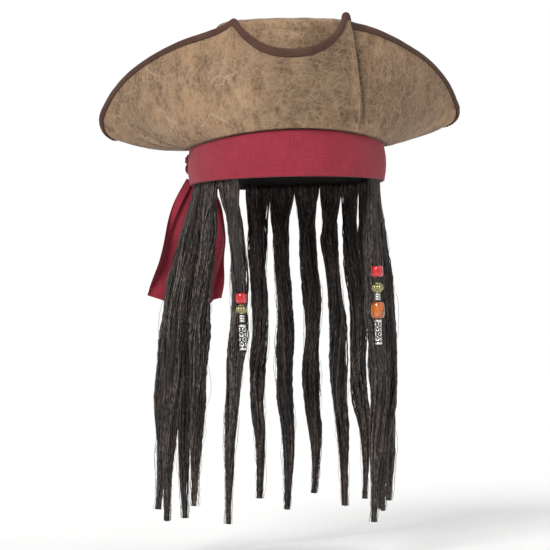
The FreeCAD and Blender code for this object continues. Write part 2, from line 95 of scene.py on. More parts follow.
# Round the brim: the angle, the free edge (x, forward, up), then how far the sheet runs outward before it
# turns up, and its rise there.
BRIM_STATIONS = [
    (-180, (0.0, -0.124, 0.08), 0.013, 0.018),
    (-164, (-0.042, -0.121, 0.075), 0.015, 0.016),
    (-149, (-0.082, -0.114, 0.06), 0.02, 0.011),
    (-136, (-0.116, -0.103, 0.039), 0.028, 0.003),
    (-126, (-0.142, -0.092, 0.017), 0.036, -0.001),
    (-119, (-0.16, -0.082, 0.005), 0.04, -0.002),
    (-113, (-0.171, -0.071, 0.01), 0.042, -0.002),
    (-108, (-0.174, -0.059, 0.023), 0.042, -0.002),
    (-102, (-0.167, -0.044, 0.038), 0.041, -0.002),
    (-94, (-0.158, -0.025, 0.05), 0.038, 0.0),
    (-86, (-0.145, 0.0, 0.062), 0.034, 0.002),
    (-77, (-0.129, 0.022, 0.072), 0.029, 0.006),
    (-68, (-0.115, 0.04, 0.078), 0.024, 0.011),
    (-59, (-0.1, 0.056, 0.083), 0.019, 0.017),
    (-52, (-0.084, 0.07, 0.087), 0.015, 0.022),
    (-46.5, (-0.07, 0.081, 0.091), 0.012, 0.026),
    (-43.5, (-0.062, 0.088, 0.0945), 0.011, 0.028),
    (-41, (-0.056, 0.093, 0.0975), 0.01, 0.029),
    (-38, (-0.052, 0.097, 0.092), 0.009, 0.029),
    (-34, (-0.045, 0.101, 0.084), 0.008, 0.029),
    (-26, (-0.033, 0.108, 0.074), 0.007, 0.027),
    (-16, (-0.019, 0.113, 0.0685), 0.007, 0.026),
    (-5, (-0.004, 0.116, 0.067), 0.007, 0.025),
    (6, (0.012, 0.115, 0.069), 0.007, 0.025),
    (16, (0.026, 0.111, 0.075), 0.007, 0.027),
    (24, (0.036, 0.107, 0.083), 0.008, 0.03),
    (30, (0.043, 0.103, 0.0925), 0.009, 0.032),
    (34, (0.047, 0.099, 0.1015), 0.01, 0.035),
    (37.5, (0.053, 0.09, 0.095), 0.006, 0.033),
    (46, (0.071, 0.076, 0.0915), 0.011, 0.026),
    (55, (0.09, 0.062, 0.0865), 0.017, 0.019),
    (65, (0.107, 0.046, 0.081), 0.023, 0.012),
    (76, (0.126, 0.027, 0.073), 0.029, 0.007),
    (86, (0.144, 0.004, 0.063), 0.034, 0.004),
    (95, (0.16, -0.02, 0.05), 0.038, 0.002),
    (103, (0.172, -0.044, 0.036), 0.041, 0.001),
    (109, (0.178, -0.06, 0.026), 0.042, 0.002),
    (114, (0.176, -0.07, 0.017), 0.041, 0.002),
    (120, (0.164, -0.08, 0.014), 0.038, 0.002),
    (127, (0.147, -0.09, 0.025), 0.034, 0.002),
    (137, (0.122, -0.101, 0.043), 0.027, 0.005),
    (150, (0.087, -0.113, 0.061), 0.019, 0.011),
    (165, (0.045, -0.121, 0.075), 0.015, 0.016),
]

# Soft folds pressed into the brim: (angle, share of the way to the edge) at both ends, half width, height.
# A positive height stands out from the outer face. The front ridge runs down from the right peak.
FRONT_RIDGE = ((36.0, 0.0), (34.5, 1.0))
BRIM_FOLDS = [
    ((-92, 0.03), (-98, 0.62), 0.006, -0.0034),
    ((-93, 0.05), (-102, 0.55), 0.005, 0.0028),
    ((-94, 0.05), (-108, 0.60), 0.004, -0.0024),
    ((-47, 0.1), (-41, 0.95), 0.007, 0.0014),
    (*FRONT_RIDGE, 0.0035, 0.0030),
    ((42, 0.1), (39, 0.95), 0.007, -0.0030),
    ((100, 0.05), (112, 0.6), 0.007, -0.0014),
    ((-150, 0.1), (-160, 0.8), 0.012, 0.0014),
    ((150, 0.1), (158, 0.8), 0.011, -0.0013),
]

KNOT_ANGLE = -130
KNOT_HEIGHT = -0.023
KNOT_REACH = 0.0936
KNOT_STAND_OFF = 0.0113
TAIL_CLOTH = 0.0006
TAIL_FRONT_FLAT = (0.042, 0.127)
TAIL_BACK_FLAT = (0.042, 0.128)
# The tails, from the top line to the bottom one, each from its front edge to its back edge, as (x, y, z).
TAIL_FRONT_LINES = [
    ((-0.088, 0.072, -0.038), (-0.08, 0.079, -0.038)),
    ((-0.101, 0.074, -0.06), (-0.08, 0.09, -0.064)),
    ((-0.114, 0.077, -0.093), (-0.087, 0.0965, -0.099)),
    ((-0.122, 0.0785, -0.122), (-0.094, 0.1, -0.13)),
    ((-0.128, 0.0795, -0.15), (-0.099, 0.1025, -0.161)),
]
TAIL_BACK_LINES = [
    ((-0.076, 0.084, -0.038), (-0.068, 0.088, -0.038)),
    ((-0.074, 0.094, -0.065), (-0.054, 0.105, -0.063)),
    ((-0.076, 0.101, -0.098), (-0.049, 0.115, -0.095)),
    ((-0.079, 0.105, -0.13), (-0.051, 0.119, -0.127)),
    ((-0.084, 0.108, -0.163), (-0.055, 0.122, -0.153)),
]

# Dreadlocks: the root's angle, the whole length, then the points of the route below the root, each as
# (outward from the root, sideways towards the back, up).
LOCKS = {
    "lock_left_1": (-46, 0.315, [
        (-0.004, -0.003, -0.105), (-0.002, -0.006, -0.17), (0.004, -0.002, -0.24),
        (0.007, 0.003, -0.305), (0.006, 0.006, -0.362),
    ]),
    "lock_left_2": (-64, 0.301, [
        (0.006, -0.002, -0.1), (0.013, 0.006, -0.165), (0.02, -0.002, -0.235),
        (0.02, 0.006, -0.3), (0.025, 0.002, -0.346),
    ]),
    "lock_left_3": (-83, 0.319, [
        (0.013, 0.004, -0.104), (0.027, -0.003, -0.17), (0.032, 0.005, -0.24),
        (0.039, 0.0, -0.306), (0.039, 0.006, -0.362),
    ]),
    "lock_left_4": (-102, 0.313, [
        (0.018, -0.002, -0.1), (0.033, 0.005, -0.166), (0.041, -0.003, -0.236),
        (0.043, 0.004, -0.304), (0.048, 0.0, -0.354),
    ]),
    "lock_left_5": (-121, 0.322, [
        (0.013, 0.003, -0.104), (0.024, -0.004, -0.17), (0.028, 0.004, -0.238),
        (0.034, -0.001, -0.304), (0.034, 0.003, -0.366),
    ]),
    "lock_back_1": (-167, 0.306, [
        (0.003, -0.003, -0.102), (0.009, 0.003, -0.17), (0.01, -0.003, -0.24),
        (0.016, 0.003, -0.306), (0.015, 0.0, -0.352),
    ]),
    "lock_back_2": (177, 0.318, [
        (0.005, 0.003, -0.106), (0.008, -0.003, -0.172), (0.014, 0.002, -0.238),
        (0.014, -0.004, -0.3), (0.018, 0.0, -0.364),
    ]),
    "lock_back_3": (160, 0.302, [
        (0.004, 0.002, -0.1), (0.01, -0.004, -0.166), (0.011, 0.004, -0.236),
        (0.017, -0.002, -0.302), (0.016, 0.003, -0.348),
    ]),
    "lock_back_4": (143, 0.314, [
        (0.004, 0.004, -0.104), (0.008, -0.003, -0.172), (0.014, 0.003, -0.238),
        (0.014, -0.003, -0.304), (0.018, 0.001, -0.36),
    ]),
    "lock_right_5": (127, 0.306, [
        (0.004, 0.003, -0.102), (0.01, -0.002, -0.168), (0.011, 0.004, -0.238),
        (0.017, -0.002, -0.302), (0.015, 0.002, -0.352),
    ]),
    "lock_right_4": (111, 0.316, [
        (0.005, 0.004, -0.106), (0.009, -0.003, -0.172), (0.014, 0.002, -0.24),
        (0.012, -0.004, -0.3), (0.015, 0.0, -0.362),
    ]),
    "lock_right_3": (95, 0.304, [
        (0.004, 0.002, -0.1), (0.011, -0.004, -0.168), (0.011, 0.003, -0.238),
        (0.014, -0.003, -0.304), (0.011, 0.001, -0.35),
    ]),
    "lock_right_2": (79, 0.310, [
        (0.004, 0.003, -0.106), (0.012, -0.002, -0.172), (0.011, 0.004, -0.238),
        (0.004, -0.002, -0.3), (0.0, 0.002, -0.356),
    ]),
    "lock_right_1": (63, 0.319, [
        (0.001, 0.002, -0.102), (0.006, -0.003, -0.168), (0.008, 0.003, -0.232),
        (0.002, -0.003, -0.3), (-0.003, 0.001, -0.366),
    ]),
}

# Bead strings: the cord's length and route (x, forward, up), and the pieces on it from the top down, as
# (name, CAD node, make, height, radius, length, slot).
STRINGS = {
    "left": (0.137, [
        (-0.056, 0.0845, -0.0485), (-0.056, 0.088, -0.08), (-0.054, 0.09, -0.126), (-0.0528, 0.09, -0.185),
    ], [
        ("left_red_bead", "bead_left_red", "glass", -0.156, 0.005, 0.0096, "red_bead"),
        ("left_gold_bead", "bead_left_gold", "ribbed", -0.166, 0.0055, 0.0084, "gold_bead"),
        ("left_spacer", "bead_left_silver", "spacer", -0.1745, 0.0026, 0.0068, "silver_metal"),
        ("left_charm", "charm_left", "charm", -0.1915, 0.0037, 0.0234, "silver_metal"),
    ]),
    "right": (0.132, [
        (0.0735, 0.0635, -0.0485), (0.0755, 0.069, -0.078), (0.074, 0.072, -0.112), (0.074, 0.072, -0.18),
    ], [
        ("right_red_bead", "bead_right_red", "glass", -0.1336, 0.0055, 0.0102, "red_bead"),
        ("right_gold_bead", "bead_right_gold", "ribbed", -0.1485, 0.0056, 0.0092, "gold_bead"),
        ("right_spacer", "bead_right_silver", "spacer", -0.157, 0.0027, 0.0066, "silver_metal"),
        ("right_amber_bead", "bead_right_amber", "glass", -0.1692, 0.0062, 0.0152, "amber_bead"),
        ("right_charm", "charm_right", "charm", -0.1892, 0.0035, 0.0232, "silver_metal"),
    ]),
}

CAMERA_PLACE = (-0.2397, -2.2803, -0.1805)
CAMERA_AIM = (-0.0124, 0.0085, -0.1334)
CAMERA_ROLL = -1.18
CAMERA_LENS = 158.5
FLOOR_HEIGHT = -0.40
# The light that the even room gives, and how bright the camera sees it.
ROOM_LIGHT = 0.45
ROOM_SEEN = 1.0
# Lamps: name, place, apparent width in degrees, strength.
LAMPS = [
    ("key", (-1.3, -2.0, 1.5), 30, 2.4),
    ("top", (0.3, 0.4, 2.2), 50, 0.7),
    ("fill", (2.4, -1.2, 0.6), 50, 0.3),
    ("rear", (0.6, 2.2, 0.9), 50, 0.5),
]


# ---------------------------------------------------------------- numbers and shapes
def unit(vectors):
    """The vectors at length one."""
    return vectors / np.linalg.norm(vectors, axis=-1, keepdims=True)


def fade(start, end, value):
    """0 before start and 1 after end, with a smooth step between."""
    share = np.clip((value - start) / (end - start), 0, 1)
    return share * share * (3 - 2 * share)


def oval(half_width, angle, height):
    """Points on the head oval of the given half width."""
    turn = np.radians(angle)
    x = half_width * np.sin(turn)
    y = -half_width * OVAL_RATIO * np.cos(turn)
    return np.stack(np.broadcast_arrays(x, y, height), axis=-1)


def outward(angle):
    """The level unit vectors square to the head oval."""
    turn = np.radians(angle)
    x = np.sin(turn) * OVAL_RATIO
    y = -np.cos(turn)
    return unit(np.stack(np.broadcast_arrays(x, y, 0.0), axis=-1))


def ring_angles(count):
    """Even angles round the hat, in degrees."""
    return np.arange(count) * 360 / count


def ring_turns(count):
    """Even angles round a circle, in radians."""
    return 2 * math.pi * np.arange(count) / count


def travel(line):
    """The distance along a line of points to each of them."""
    return np.concatenate([[0], np.cumsum(np.linalg.norm(np.diff(line, axis=0), axis=1))])


def seam_height(angle):
    """The height of the seam between brim and crown, which dips at the sides."""
    return -SEAM_FRONT - SEAM_DIP * np.sin(np.radians(angle)) ** 2


def bumps(points, scale, stretch=(1, 1, 1)):
    """Smooth noise from -1 to 1 at each point; the scale is in waves per metre."""
    flat = (points * np.array(stretch) * scale).reshape(-1, 3)
    return np.array([noise.noise(Vector(p)) for p in flat.tolist()]).reshape(points.shape[:-1])


def ripple(generator, count, along, waves, size):
    """Slow random wandering of several strands along their length, as a sum of a few waves each."""
    total = np.zeros((count, len(along)))
    for number in waves:
        phase = generator.uniform(0, 2 * math.pi, (count, 1))
        pace = number * generator.uniform(0.8, 1.25, (count, 1))
        strength = generator.uniform(0.4, 1, (count, 1))
        total += np.sin(2 * math.pi * pace * along + phase) * strength / number ** 0.7
    return total * size


# ---------------------------------------------------------------- meshes
def grid_faces(rows, columns, wrap_rows, wrap_columns):
    """Corner indices of each quad of a grid of points, and each corner's row and column, not wrapped."""
    row = np.arange(rows if wrap_rows else rows - 1)
    column = np.arange(columns if wrap_columns else columns - 1)
    row, column = [x.ravel() for x in np.meshgrid(row, column, indexing="ij")]
    corner_rows = np.stack([row, row, row + 1, row + 1], axis=1)
    corner_columns = np.stack([column, column + 1, column + 1, column], axis=1)
    faces = (corner_rows % rows) * columns + corner_columns % columns
    return faces, corner_rows, corner_columns


def finish_mesh(name, points, faces, material, uv=None, values=None):
    """A smooth-shaded object of the points and faces, with the UVs and values that its material reads."""
    mesh = bpy.data.meshes.new(name)
    mesh.from_pydata(points.reshape(-1, 3).tolist(), [], [list(map(int, face)) for face in faces])
    mesh.shade_smooth()
    if uv is not None:
        layer = mesh.uv_layers.new(name="cloth")
        layer.data.foreach_set("uv", np.asarray(uv, np.float32).ravel())
    for key, value in (values or {}).items():
        attribute = mesh.attributes.new(key, "FLOAT", "POINT")
        attribute.data.foreach_set("value", np.asarray(value, np.float32).ravel())
    mesh.materials.append(material)
    made = bpy.data.objects.new(name, mesh)
    bpy.context.scene.collection.objects.link(made)
    return made


def grid_object(name, points, material, wrap_rows=False, wrap_columns=True, size=(1, 1), values=None):
    """A surface through rows of points. The size is what the UVs measure along a row and across the rows."""
    rows, columns = points.shape[:2]
    faces, corner_rows, corner_columns = grid_faces(rows, columns, wrap_rows, wrap_columns)
    along = corner_columns / columns * size[0]
    across = corner_rows / rows * size[1]
    uv = np.stack([along, across], axis=-1)
    return finish_mesh(name, points, faces, material, uv, values)


def sheet_object(name, front, back, material, wrap_columns=True, size=(1, 1), values=None):
    """A closed sheet between two grids of points; an open sheet gets its two side edges closed too."""
    points = np.concatenate([front, back[::-1]])
    rows, columns = points.shape[:2]
    faces, corner_rows, corner_columns = grid_faces(rows, columns, True, wrap_columns)
    halfway = rows // 2
    folded_rows = np.minimum(corner_rows, rows - corner_rows)
    uv = np.stack([corner_columns / columns * size[0], folded_rows / halfway * size[1]], axis=-1)
    if not wrap_columns:
        row = np.arange(halfway - 1)
        mirror = rows - 1 - row
        left = np.stack([row, row + 1, mirror - 1, mirror], axis=1) * columns
        right = left[:, ::-1] + columns - 1
        faces = np.concatenate([faces, left, right])
        side = np.zeros((2 * len(row), 4, 2))
        side[..., 1] = (np.tile(row, 2) / halfway * size[1])[:, None]
        uv = np.concatenate([uv, side])
    if values:
        values = {key: np.concatenate([value, value[::-1]]) for key, value in values.items()}
    return finish_mesh(name, points, faces, material, uv, values)


def capped_faces(rings, sides):
    """The faces of one closed tube: its sides, then its two ends."""
    faces, _, _ = grid_faces(rings, sides, False, True)
    ends = [list(range(sides))[::-1], [(rings - 1) * sides + k for k in range(sides)]]
    return faces.tolist() + ends


def shifted(faces, first):
    """The same faces on points that start at another number."""
    return [[corner + first for corner in face] for face in faces]


def tubes(centres, across, aside, radii, sides):
    """Points and faces of many closed tubes, from centres (tube, ring, xyz) and radii (tube, ring)."""
    count, rings = centres.shape[:2]
    turn = ring_turns(sides)
    circle = np.cos(turn)[:, None] * across[..., None, :] + np.sin(turn)[:, None] * aside[..., None, :]
    points = centres[:, :, None, :] + radii[:, :, None, None] * circle
    one_tube = capped_faces(rings, sides)
    faces = []
    for index in range(count):
        faces.extend(shifted(one_tube, index * rings * sides))
    return points.reshape(-1, 3), faces


def turned_grid(outline, sides):
    """Rows of points round the Z axis from an outline of (radius, height)."""
    turn = ring_turns(sides)
    rows = [np.stack([r * np.cos(turn), r * np.sin(turn), np.full(sides, h)], axis=1) for r, h in outline]
    return np.array(rows)


def stitches(name, places, along, out, length, thickness, material):
    """Short thread stitches, each a small arched tube that dips into the cloth at both ends."""
    share = np.linspace(-1, 1, 6)
    rise = thickness * 0.5 * (1 - 2.2 * share ** 4)
    centres = places[:, None] + along[:, None] * (share * length / 2)[None, :, None]
    centres = centres + out[:, None] * rise[None, :, None]
    radii = np.tile(thickness / 2 * np.sqrt(1.15 - share ** 2), (len(places), 1))
    aside = np.cross(along, out)
    across_all = np.repeat(out[:, None], len(share), axis=1)
    aside_all = np.repeat(aside[:, None], len(share), axis=1)
    points, faces = tubes(centres, across_all, aside_all, radii, 6)
    return finish_mesh(name, points, faces, material)


def stitch_ring(name, half_width, height, count, length, material):
    """A level row of stitches round the inside of the head opening."""
    angle = ring_angles(count)
    out = -outward(angle)
    along = np.stack([-out[:, 1], out[:, 0], np.zeros(count)], axis=1)
    return stitches(name, oval(half_width, angle, height), along, out, length, 0.0005, material)


def attach(piece, node, body):
    """The piece stands for the CAD node, whose part is hidden, and rides on the body."""
    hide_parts(node)
    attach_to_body(piece, body)


# ---------------------------------------------------------------- material nodes
class Graph:
    """Short calls that build one material's nodes."""

    def __init__(self, name, roughness=0.6):
        self.material = bpy.data.materials.new(name)
        self.material.use_nodes = True
        self.tree = self.material.node_tree
        self.shader = self.tree.nodes["Principled BSDF"]
        self.feed(self.shader.inputs["Roughness"], roughness)

    def feed(self, socket, value):
        """Links a node's output to the socket, or sets the socket to a colour or number."""
        if isinstance(value, bpy.types.NodeSocket):
            self.tree.links.new(value, socket)
        elif isinstance(value, tuple) and len(value) == 3 and socket.type == "RGBA":
            socket.default_value = (*value, 1)
        else:
            socket.default_value = value

    def node(self, kind, settings=None, **inputs):
        """A new node with its settings and its inputs by name, with _ for a space."""
        made = self.tree.nodes.new("ShaderNode" + kind)
        for key, value in (settings or {}).items():
            setattr(made, key, value)
        for key, value in inputs.items():
            self.feed(made.inputs[key.replace("_", " ")], value)
        return made

    def set(self, **inputs):
        """Feeds the surface shader's inputs by name, with _ for a space."""
        for key, value in inputs.items():
            self.feed(self.shader.inputs[key.replace("_", " ")], value)

    def place(self):
        """The place on the object, in metres."""
        return self.node("TexCoord").outputs["Object"]

    def cloth_place(self):
        """The place on the flat cloth, in metres."""
        return self.node("UVMap", {"uv_map": "cloth"}).outputs["UV"]

    def value(self, name):
        """A value that the mesh carries at its points."""
        return self.node("Attribute", {"attribute_name": name}).outputs["Fac"]

    def stretched(self, place, scale):
        return self.node("Mapping", Vector=place, Scale=scale).outputs["Vector"]

    def noise(self, place, scale, detail=3.0, roughness=0.5, distortion=0.0):
        made = self.node("TexNoise", Vector=place, Scale=scale, Detail=detail, Roughness=roughness,
                         Distortion=distortion)
        return made.outputs["Fac"]

    def warped(self, place, scale, amount):
        """The place moved about by noise, to bend what is drawn there."""
        colour = self.node("TexNoise", Vector=place, Scale=scale, Detail=3.0).outputs["Color"]
        centred = self.node("VectorMath", {"operation": "SUBTRACT"})
        self.feed(centred.inputs[0], colour)
        centred.inputs[1].default_value = (0.5, 0.5, 0.5)
        moved = self.node("VectorMath", {"operation": "MULTIPLY_ADD"})
        self.feed(moved.inputs[0], centred.outputs["Vector"])
        moved.inputs[1].default_value = (amount, amount, amount)
        self.feed(moved.inputs[2], place)
        return moved.outputs["Vector"]

    def cracks(self, place, scale):
        """The distance to the nearest border between random cells, in cell sizes."""
        return self.node("TexVoronoi", {"feature": "DISTANCE_TO_EDGE"}, Vector=place, Scale=scale).outputs[0]

    def math(self, operation, first, second=0.0, third=0.0):
        made = self.node("Math", {"operation": operation})
        self.feed(made.inputs[0], first)
        self.feed(made.inputs[1], second)
        if operation == "MULTIPLY_ADD":
            self.feed(made.inputs[2], third)
        return made.outputs[0]

    def ramp(self, value, low, high, start=0.0, end=1.0):
        """The value brought smoothly from low..high to start..end."""
        made = self.node("MapRange", {"interpolation_type": "SMOOTHSTEP"}, Value=value)
        made.inputs["From Min"].default_value = low
        made.inputs["From Max"].default_value = high
        made.inputs["To Min"].default_value = start
        made.inputs["To Max"].default_value = end
        return made.outputs["Result"]

    def mix(self, share, first, second):
        made = self.node("Mix", {"data_type": "RGBA"})
        self.feed(made.inputs["Factor"], share)
        self.feed(made.inputs[6], first)
        self.feed(made.inputs[7], second)
        return made.outputs[2]

    def bump(self, height, distance, strength=1.0, under=None):
        made = self.node("Bump", Height=height, Distance=distance, Strength=strength)
        if under is not None:
            self.feed(made.inputs["Normal"], under)
        return made.outputs["Normal"]

    def weave(self, pitch):
        """Height of a plain weave over the cloth's UVs, with threads a pitch apart."""
        separate = self.node("SeparateXYZ", Vector=self.cloth_place())
        threads = []
        for axis in ("X", "Y"):
            phase = self.math("MULTIPLY", separate.outputs[axis], math.pi / pitch)
            threads.append(self.math("ABSOLUTE", self.math("SINE", phase)))
        board = self.node("TexChecker", Vector=self.cloth_place(), Scale=1 / pitch).outputs["Fac"]
        over = self.math("MULTIPLY", threads[0], board)
        under = self.math("MULTIPLY", threads[1], self.math("SUBTRACT", 1.0, board))
        return self.math("ADD", over, under)


def darker(colour, share):
    """The colour brought down to a share of its brightness."""
    return tuple(share * part for part in colour)


def leather_material(name, light, dark, pale):
    """Worn suede-like leather: cloudy patches, short dark strokes, pale curved cracks and a fine grain.

    The mesh's crease value makes it paler; on the brim it also holds a painted highlight along the fold
    ridges. Its painted shade value darkens it, with fine level cracks.
    """
    g = Graph(name)
    place = g.place()
    clouds = g.noise(place, 14, 4.0, 0.6)
    patches = g.noise(g.stretched(place, (1, 1, 0.75)), 62, 5.0, 0.7)
    colour = g.mix(g.ramp(clouds, 0.35, 0.68, 0.0, 0.8), light, dark)
    colour = g.mix(g.ramp(patches, 0.44, 0.64, 0.0, 0.85), colour, dark)
    bent = g.warped(place, 90, 0.006)
    net = g.ramp(g.cracks(bent, 190), 0.02, 0.2, 1.0, 0.0)
    strokes = g.noise(g.stretched(g.warped(place, 50, 0.006), (1, 1, 0.45)), 250, 4.0, 0.65)
    stroke = g.math("MULTIPLY", g.ramp(strokes, 0.5, 0.63), g.ramp(patches, 0.36, 0.58, 0.3, 1.0))
    colour = g.mix(g.math("MULTIPLY", net, 0.2), colour, pale)
    colour = g.mix(g.math("MULTIPLY", stroke, 0.42), colour, darker(dark, 0.42))
    swept = g.warped(g.warped(place, 7, 0.06), 40, 0.01)
    long_crack = g.cracks(g.stretched(swept, (1, 1, 0.7)), 34)
    fine_crack = g.cracks(g.warped(place, 25, 0.02), 85)
    where = g.ramp(g.noise(place, 34, 3.0), 0.44, 0.62)
    vein = g.math("MULTIPLY", g.ramp(long_crack, 0.0, 0.03, 1.0, 0.0), where)
    small_vein = g.math("MULTIPLY", g.ramp(fine_crack, 0.0, 0.05, 1.0, 0.0), g.ramp(clouds, 0.38, 0.6))
    veins = g.math("MAXIMUM", vein, g.math("MULTIPLY", small_vein, 0.8))
    level_crack = g.cracks(g.stretched(g.warped(place, 30, 0.012), (0.3, 0.3, 1.3)), 165)
    level_vein = g.math("MULTIPLY", g.ramp(level_crack, 0.0, 0.09, 1.0, 0.0), g.value("grime"))
    veins = g.math("MAXIMUM", veins, g.math("MULTIPLY", level_vein, 0.9))
    colour = g.mix(g.math("MULTIPLY", veins, 0.56), colour, pale)
    # Paler along the creases; on the brim this also paints a highlight along the fold ridges.
    colour = g.mix(g.math("MULTIPLY", g.value("crease"), 0.3), colour, pale)
    # Painted shade: darker where the painted shade value is set.
    colour = g.mix(g.math("MULTIPLY", g.value("grime"), 0.3), colour, darker(dark, 0.1))
    grain = g.noise(place, 2200, 2.0)
    normal = g.bump(grain, 0.00018, 0.5)
    normal = g.bump(g.math("SUBTRACT", g.math("MULTIPLY", net, 0.5), stroke), 0.00035, 0.5, normal)
    normal = g.bump(veins, 0.0005, 0.5, normal)
    g.set(Base_Color=colour, Normal=normal, Roughness=g.ramp(patches, 0.3, 0.7, 0.75, 0.92))
    g.set(Sheen_Weight=0.06, Sheen_Roughness=0.5, Specular_IOR_Level=0.3)
    return g.material


def tape_material(name, base, light):
    """Brushed twill tape with lighter worn patches and small slanting ribs."""
    g = Graph(name, 0.75)
    separate = g.node("SeparateXYZ", Vector=g.cloth_place())
    slant = g.math("MULTIPLY_ADD", separate.outputs["Y"], 1.4, separate.outputs["X"])
    ribs = g.math("ABSOLUTE", g.math("SINE", g.math("MULTIPLY", slant, math.pi / 0.0009)))
    fuzz = g.noise(g.place(), 700, 3.0, 0.6)
    wear = g.noise(g.place(), 45, 4.0, 0.6)
    colour = g.mix(g.ramp(wear, 0.35, 0.7, 0.0, 0.55), base, light)
    shadow = g.ramp(g.math("MULTIPLY", ribs, fuzz), 0.1, 0.6, 0.35, 0.0)
    colour = g.mix(shadow, colour, darker(base, 0.5))
    normal = g.bump(ribs, 0.0002, 0.5)
    normal = g.bump(fuzz, 0.0002, 0.5, normal)
    g.set(Base_Color=colour, Normal=normal, Sheen_Weight=0.04, Specular_IOR_Level=0.3)
    return g.material


def cotton_material(name, base, bright, pitch=0.0006):
    """Plain-weave cotton with uneven threads and cloudy darker patches, and painted shade in the hollows of
    the weave.
    """
    g = Graph(name, 0.82)
    weave = g.weave(pitch)
    slubs = g.noise(g.stretched(g.cloth_place(), (1, 0.06, 1)), 1100, 2.0)
    cross = g.noise(g.stretched(g.cloth_place(), (0.06, 1, 1)), 1100, 2.0)
    threads = g.math("MULTIPLY_ADD", slubs, 0.5, g.math("MULTIPLY", cross, 0.5))
    cloud = g.noise(g.place(), 38, 3.0)
    colour = g.mix(g.ramp(threads, 0.34, 0.66), base, bright)
    colour = g.mix(g.ramp(cloud, 0.3, 0.7, 0.0, 0.35), colour, darker(base, 0.72))
    # Painted shade: darker in the low places of the weave.
    colour = g.mix(g.ramp(weave, 0.0, 0.5, 0.3, 0.0), colour, darker(base, 0.5))
    normal = g.bump(weave, 0.00018, 0.45)
    normal = g.bump(threads, 0.0003, 0.5, normal)
    g.set(Base_Color=colour, Normal=normal, Sheen_Weight=0.08, Specular_IOR_Level=0.25)
    return g.material


def ribbed_tape_material(name, base, light, pitch):
    """Grosgrain: fine upright ribs across the tape, painted lighter on their tops and with painted shade
    between them.
    """
    g = Graph(name, 0.7)
    separate = g.node("SeparateXYZ", Vector=g.cloth_place())
    ribs = g.math("ABSOLUTE", g.math("SINE", g.math("MULTIPLY", separate.outputs["X"], math.pi / pitch)))
    fuzz = g.noise(g.place(), 500, 3.0)
    # Painted light: lighter on the ribs' tops, darker in the grooves between them.
    colour = g.mix(g.math("MULTIPLY", ribs, g.ramp(fuzz, 0.3, 0.7)), base, light)
    g.set(Base_Color=colour, Normal=g.bump(ribs, 0.0004, 0.6, g.bump(fuzz, 0.0001, 0.4)), Sheen_Weight=0.15)
    return g.material


def hair_material(name, dark, mid, glint):
    """Matted synthetic hair: every strand has its own shade, with crinkled streaks and a dull shine."""
    g = Graph(name, 0.42)
    shade = g.value("shade")
    crinkle = g.warped(g.place(), 260, 0.004)
    streaks = g.noise(g.stretched(crinkle, (1, 1, 0.3)), 620, 4.0, 0.7)
    slow = g.noise(g.stretched(g.place(), (1, 1, 0.4)), 70, 3.0)
    tone = g.math("MULTIPLY_ADD", g.ramp(streaks, 0.36, 0.64), 0.55, g.math("MULTIPLY", shade, 0.3))
    tone = g.math("MULTIPLY_ADD", slow, 0.6, g.math("SUBTRACT", tone, 0.28))
    colour = g.mix(g.ramp(tone, 0.1, 0.45), dark, mid)
    colour = g.mix(g.ramp(tone, 0.4, 0.8), colour, glint)
    g.set(Base_Color=colour, Normal=g.bump(streaks, 0.0004, 0.6), Specular_IOR_Level=0.36)
    g.set(Roughness=g.ramp(streaks, 0.3, 0.7, 0.36, 0.6), Sheen_Weight=0.05)
    return g.material


def cord_material(name, base, light):
    """Waxed cord with fine fibres and a soft shine."""
    g = Graph(name, 0.45)
    fibres = g.noise(g.place(), 1500, 3.0, 0.6)
    colour = g.mix(g.ramp(fibres, 0.4, 0.75), base, light)
    g.set(Base_Color=colour, Normal=g.bump(fibres, 0.0002, 0.5), Specular_IOR_Level=0.5)
    return g.material


def gloss_material(name, base, deep, bright, streak, clear=0.0):
    """Glossy moulded resin with soft swirls of colour, a clear coat and small scratches."""
    g = Graph(name, 0.18)
    swirl = g.noise(g.stretched(g.warped(g.place(), 160, 0.004), (1, 1, streak)), 260, 4.0, 0.6, 0.6)
    colour = g.mix(g.ramp(swirl, 0.36, 0.56), deep, base)
    colour = g.mix(g.ramp(swirl, 0.56, 0.74), colour, bright)
    scratches = g.noise(g.stretched(g.place(), (1, 1, 0.1)), 2600, 2.0)
    g.set(Base_Color=colour, Roughness=g.ramp(scratches, 0.35, 0.75, 0.1, 0.3))
    g.set(Coat_Weight=0.8, Coat_Roughness=0.06, Specular_IOR_Level=0.6)
    if clear:
        g.set(Subsurface_Weight=clear, Subsurface_Radius=(0.004, 0.002, 0.0006), Subsurface_Scale=1.0)
    return g.material


def aged_metal_material(name, bright, dark, roughness):
    """Cast metal with dark recesses, small dents and worn bright ridges, by the mesh's own relief."""
    g = Graph(name)
    relief = g.value("relief")
    spots = g.noise(g.place(), 700, 4.0, 0.65)
    worn = g.math("MULTIPLY_ADD", spots, 0.5, g.math("SUBTRACT", relief, 0.25))
    share = g.ramp(worn, 0.25, 0.7)
    g.set(Base_Color=g.mix(share, dark, bright), Metallic=g.ramp(worn, 0.15, 0.55, 0.35, 1.0))
    g.set(Roughness=g.ramp(worn, 0.2, 0.8, 0.7, roughness), Normal=g.bump(spots, 0.0002, 0.4))
    return g.material


def floor_material():
    """Pale matt floor with the faintest unevenness."""
    g = Graph("floor_paint", 0.9)
    cloud = g.noise(g.place(), 3, 3.0)
    g.set(Base_Color=g.mix(cloud, (0.86, 0.86, 0.855), (0.9, 0.9, 0.895)), Specular_IOR_Level=0.1)
    return g.material


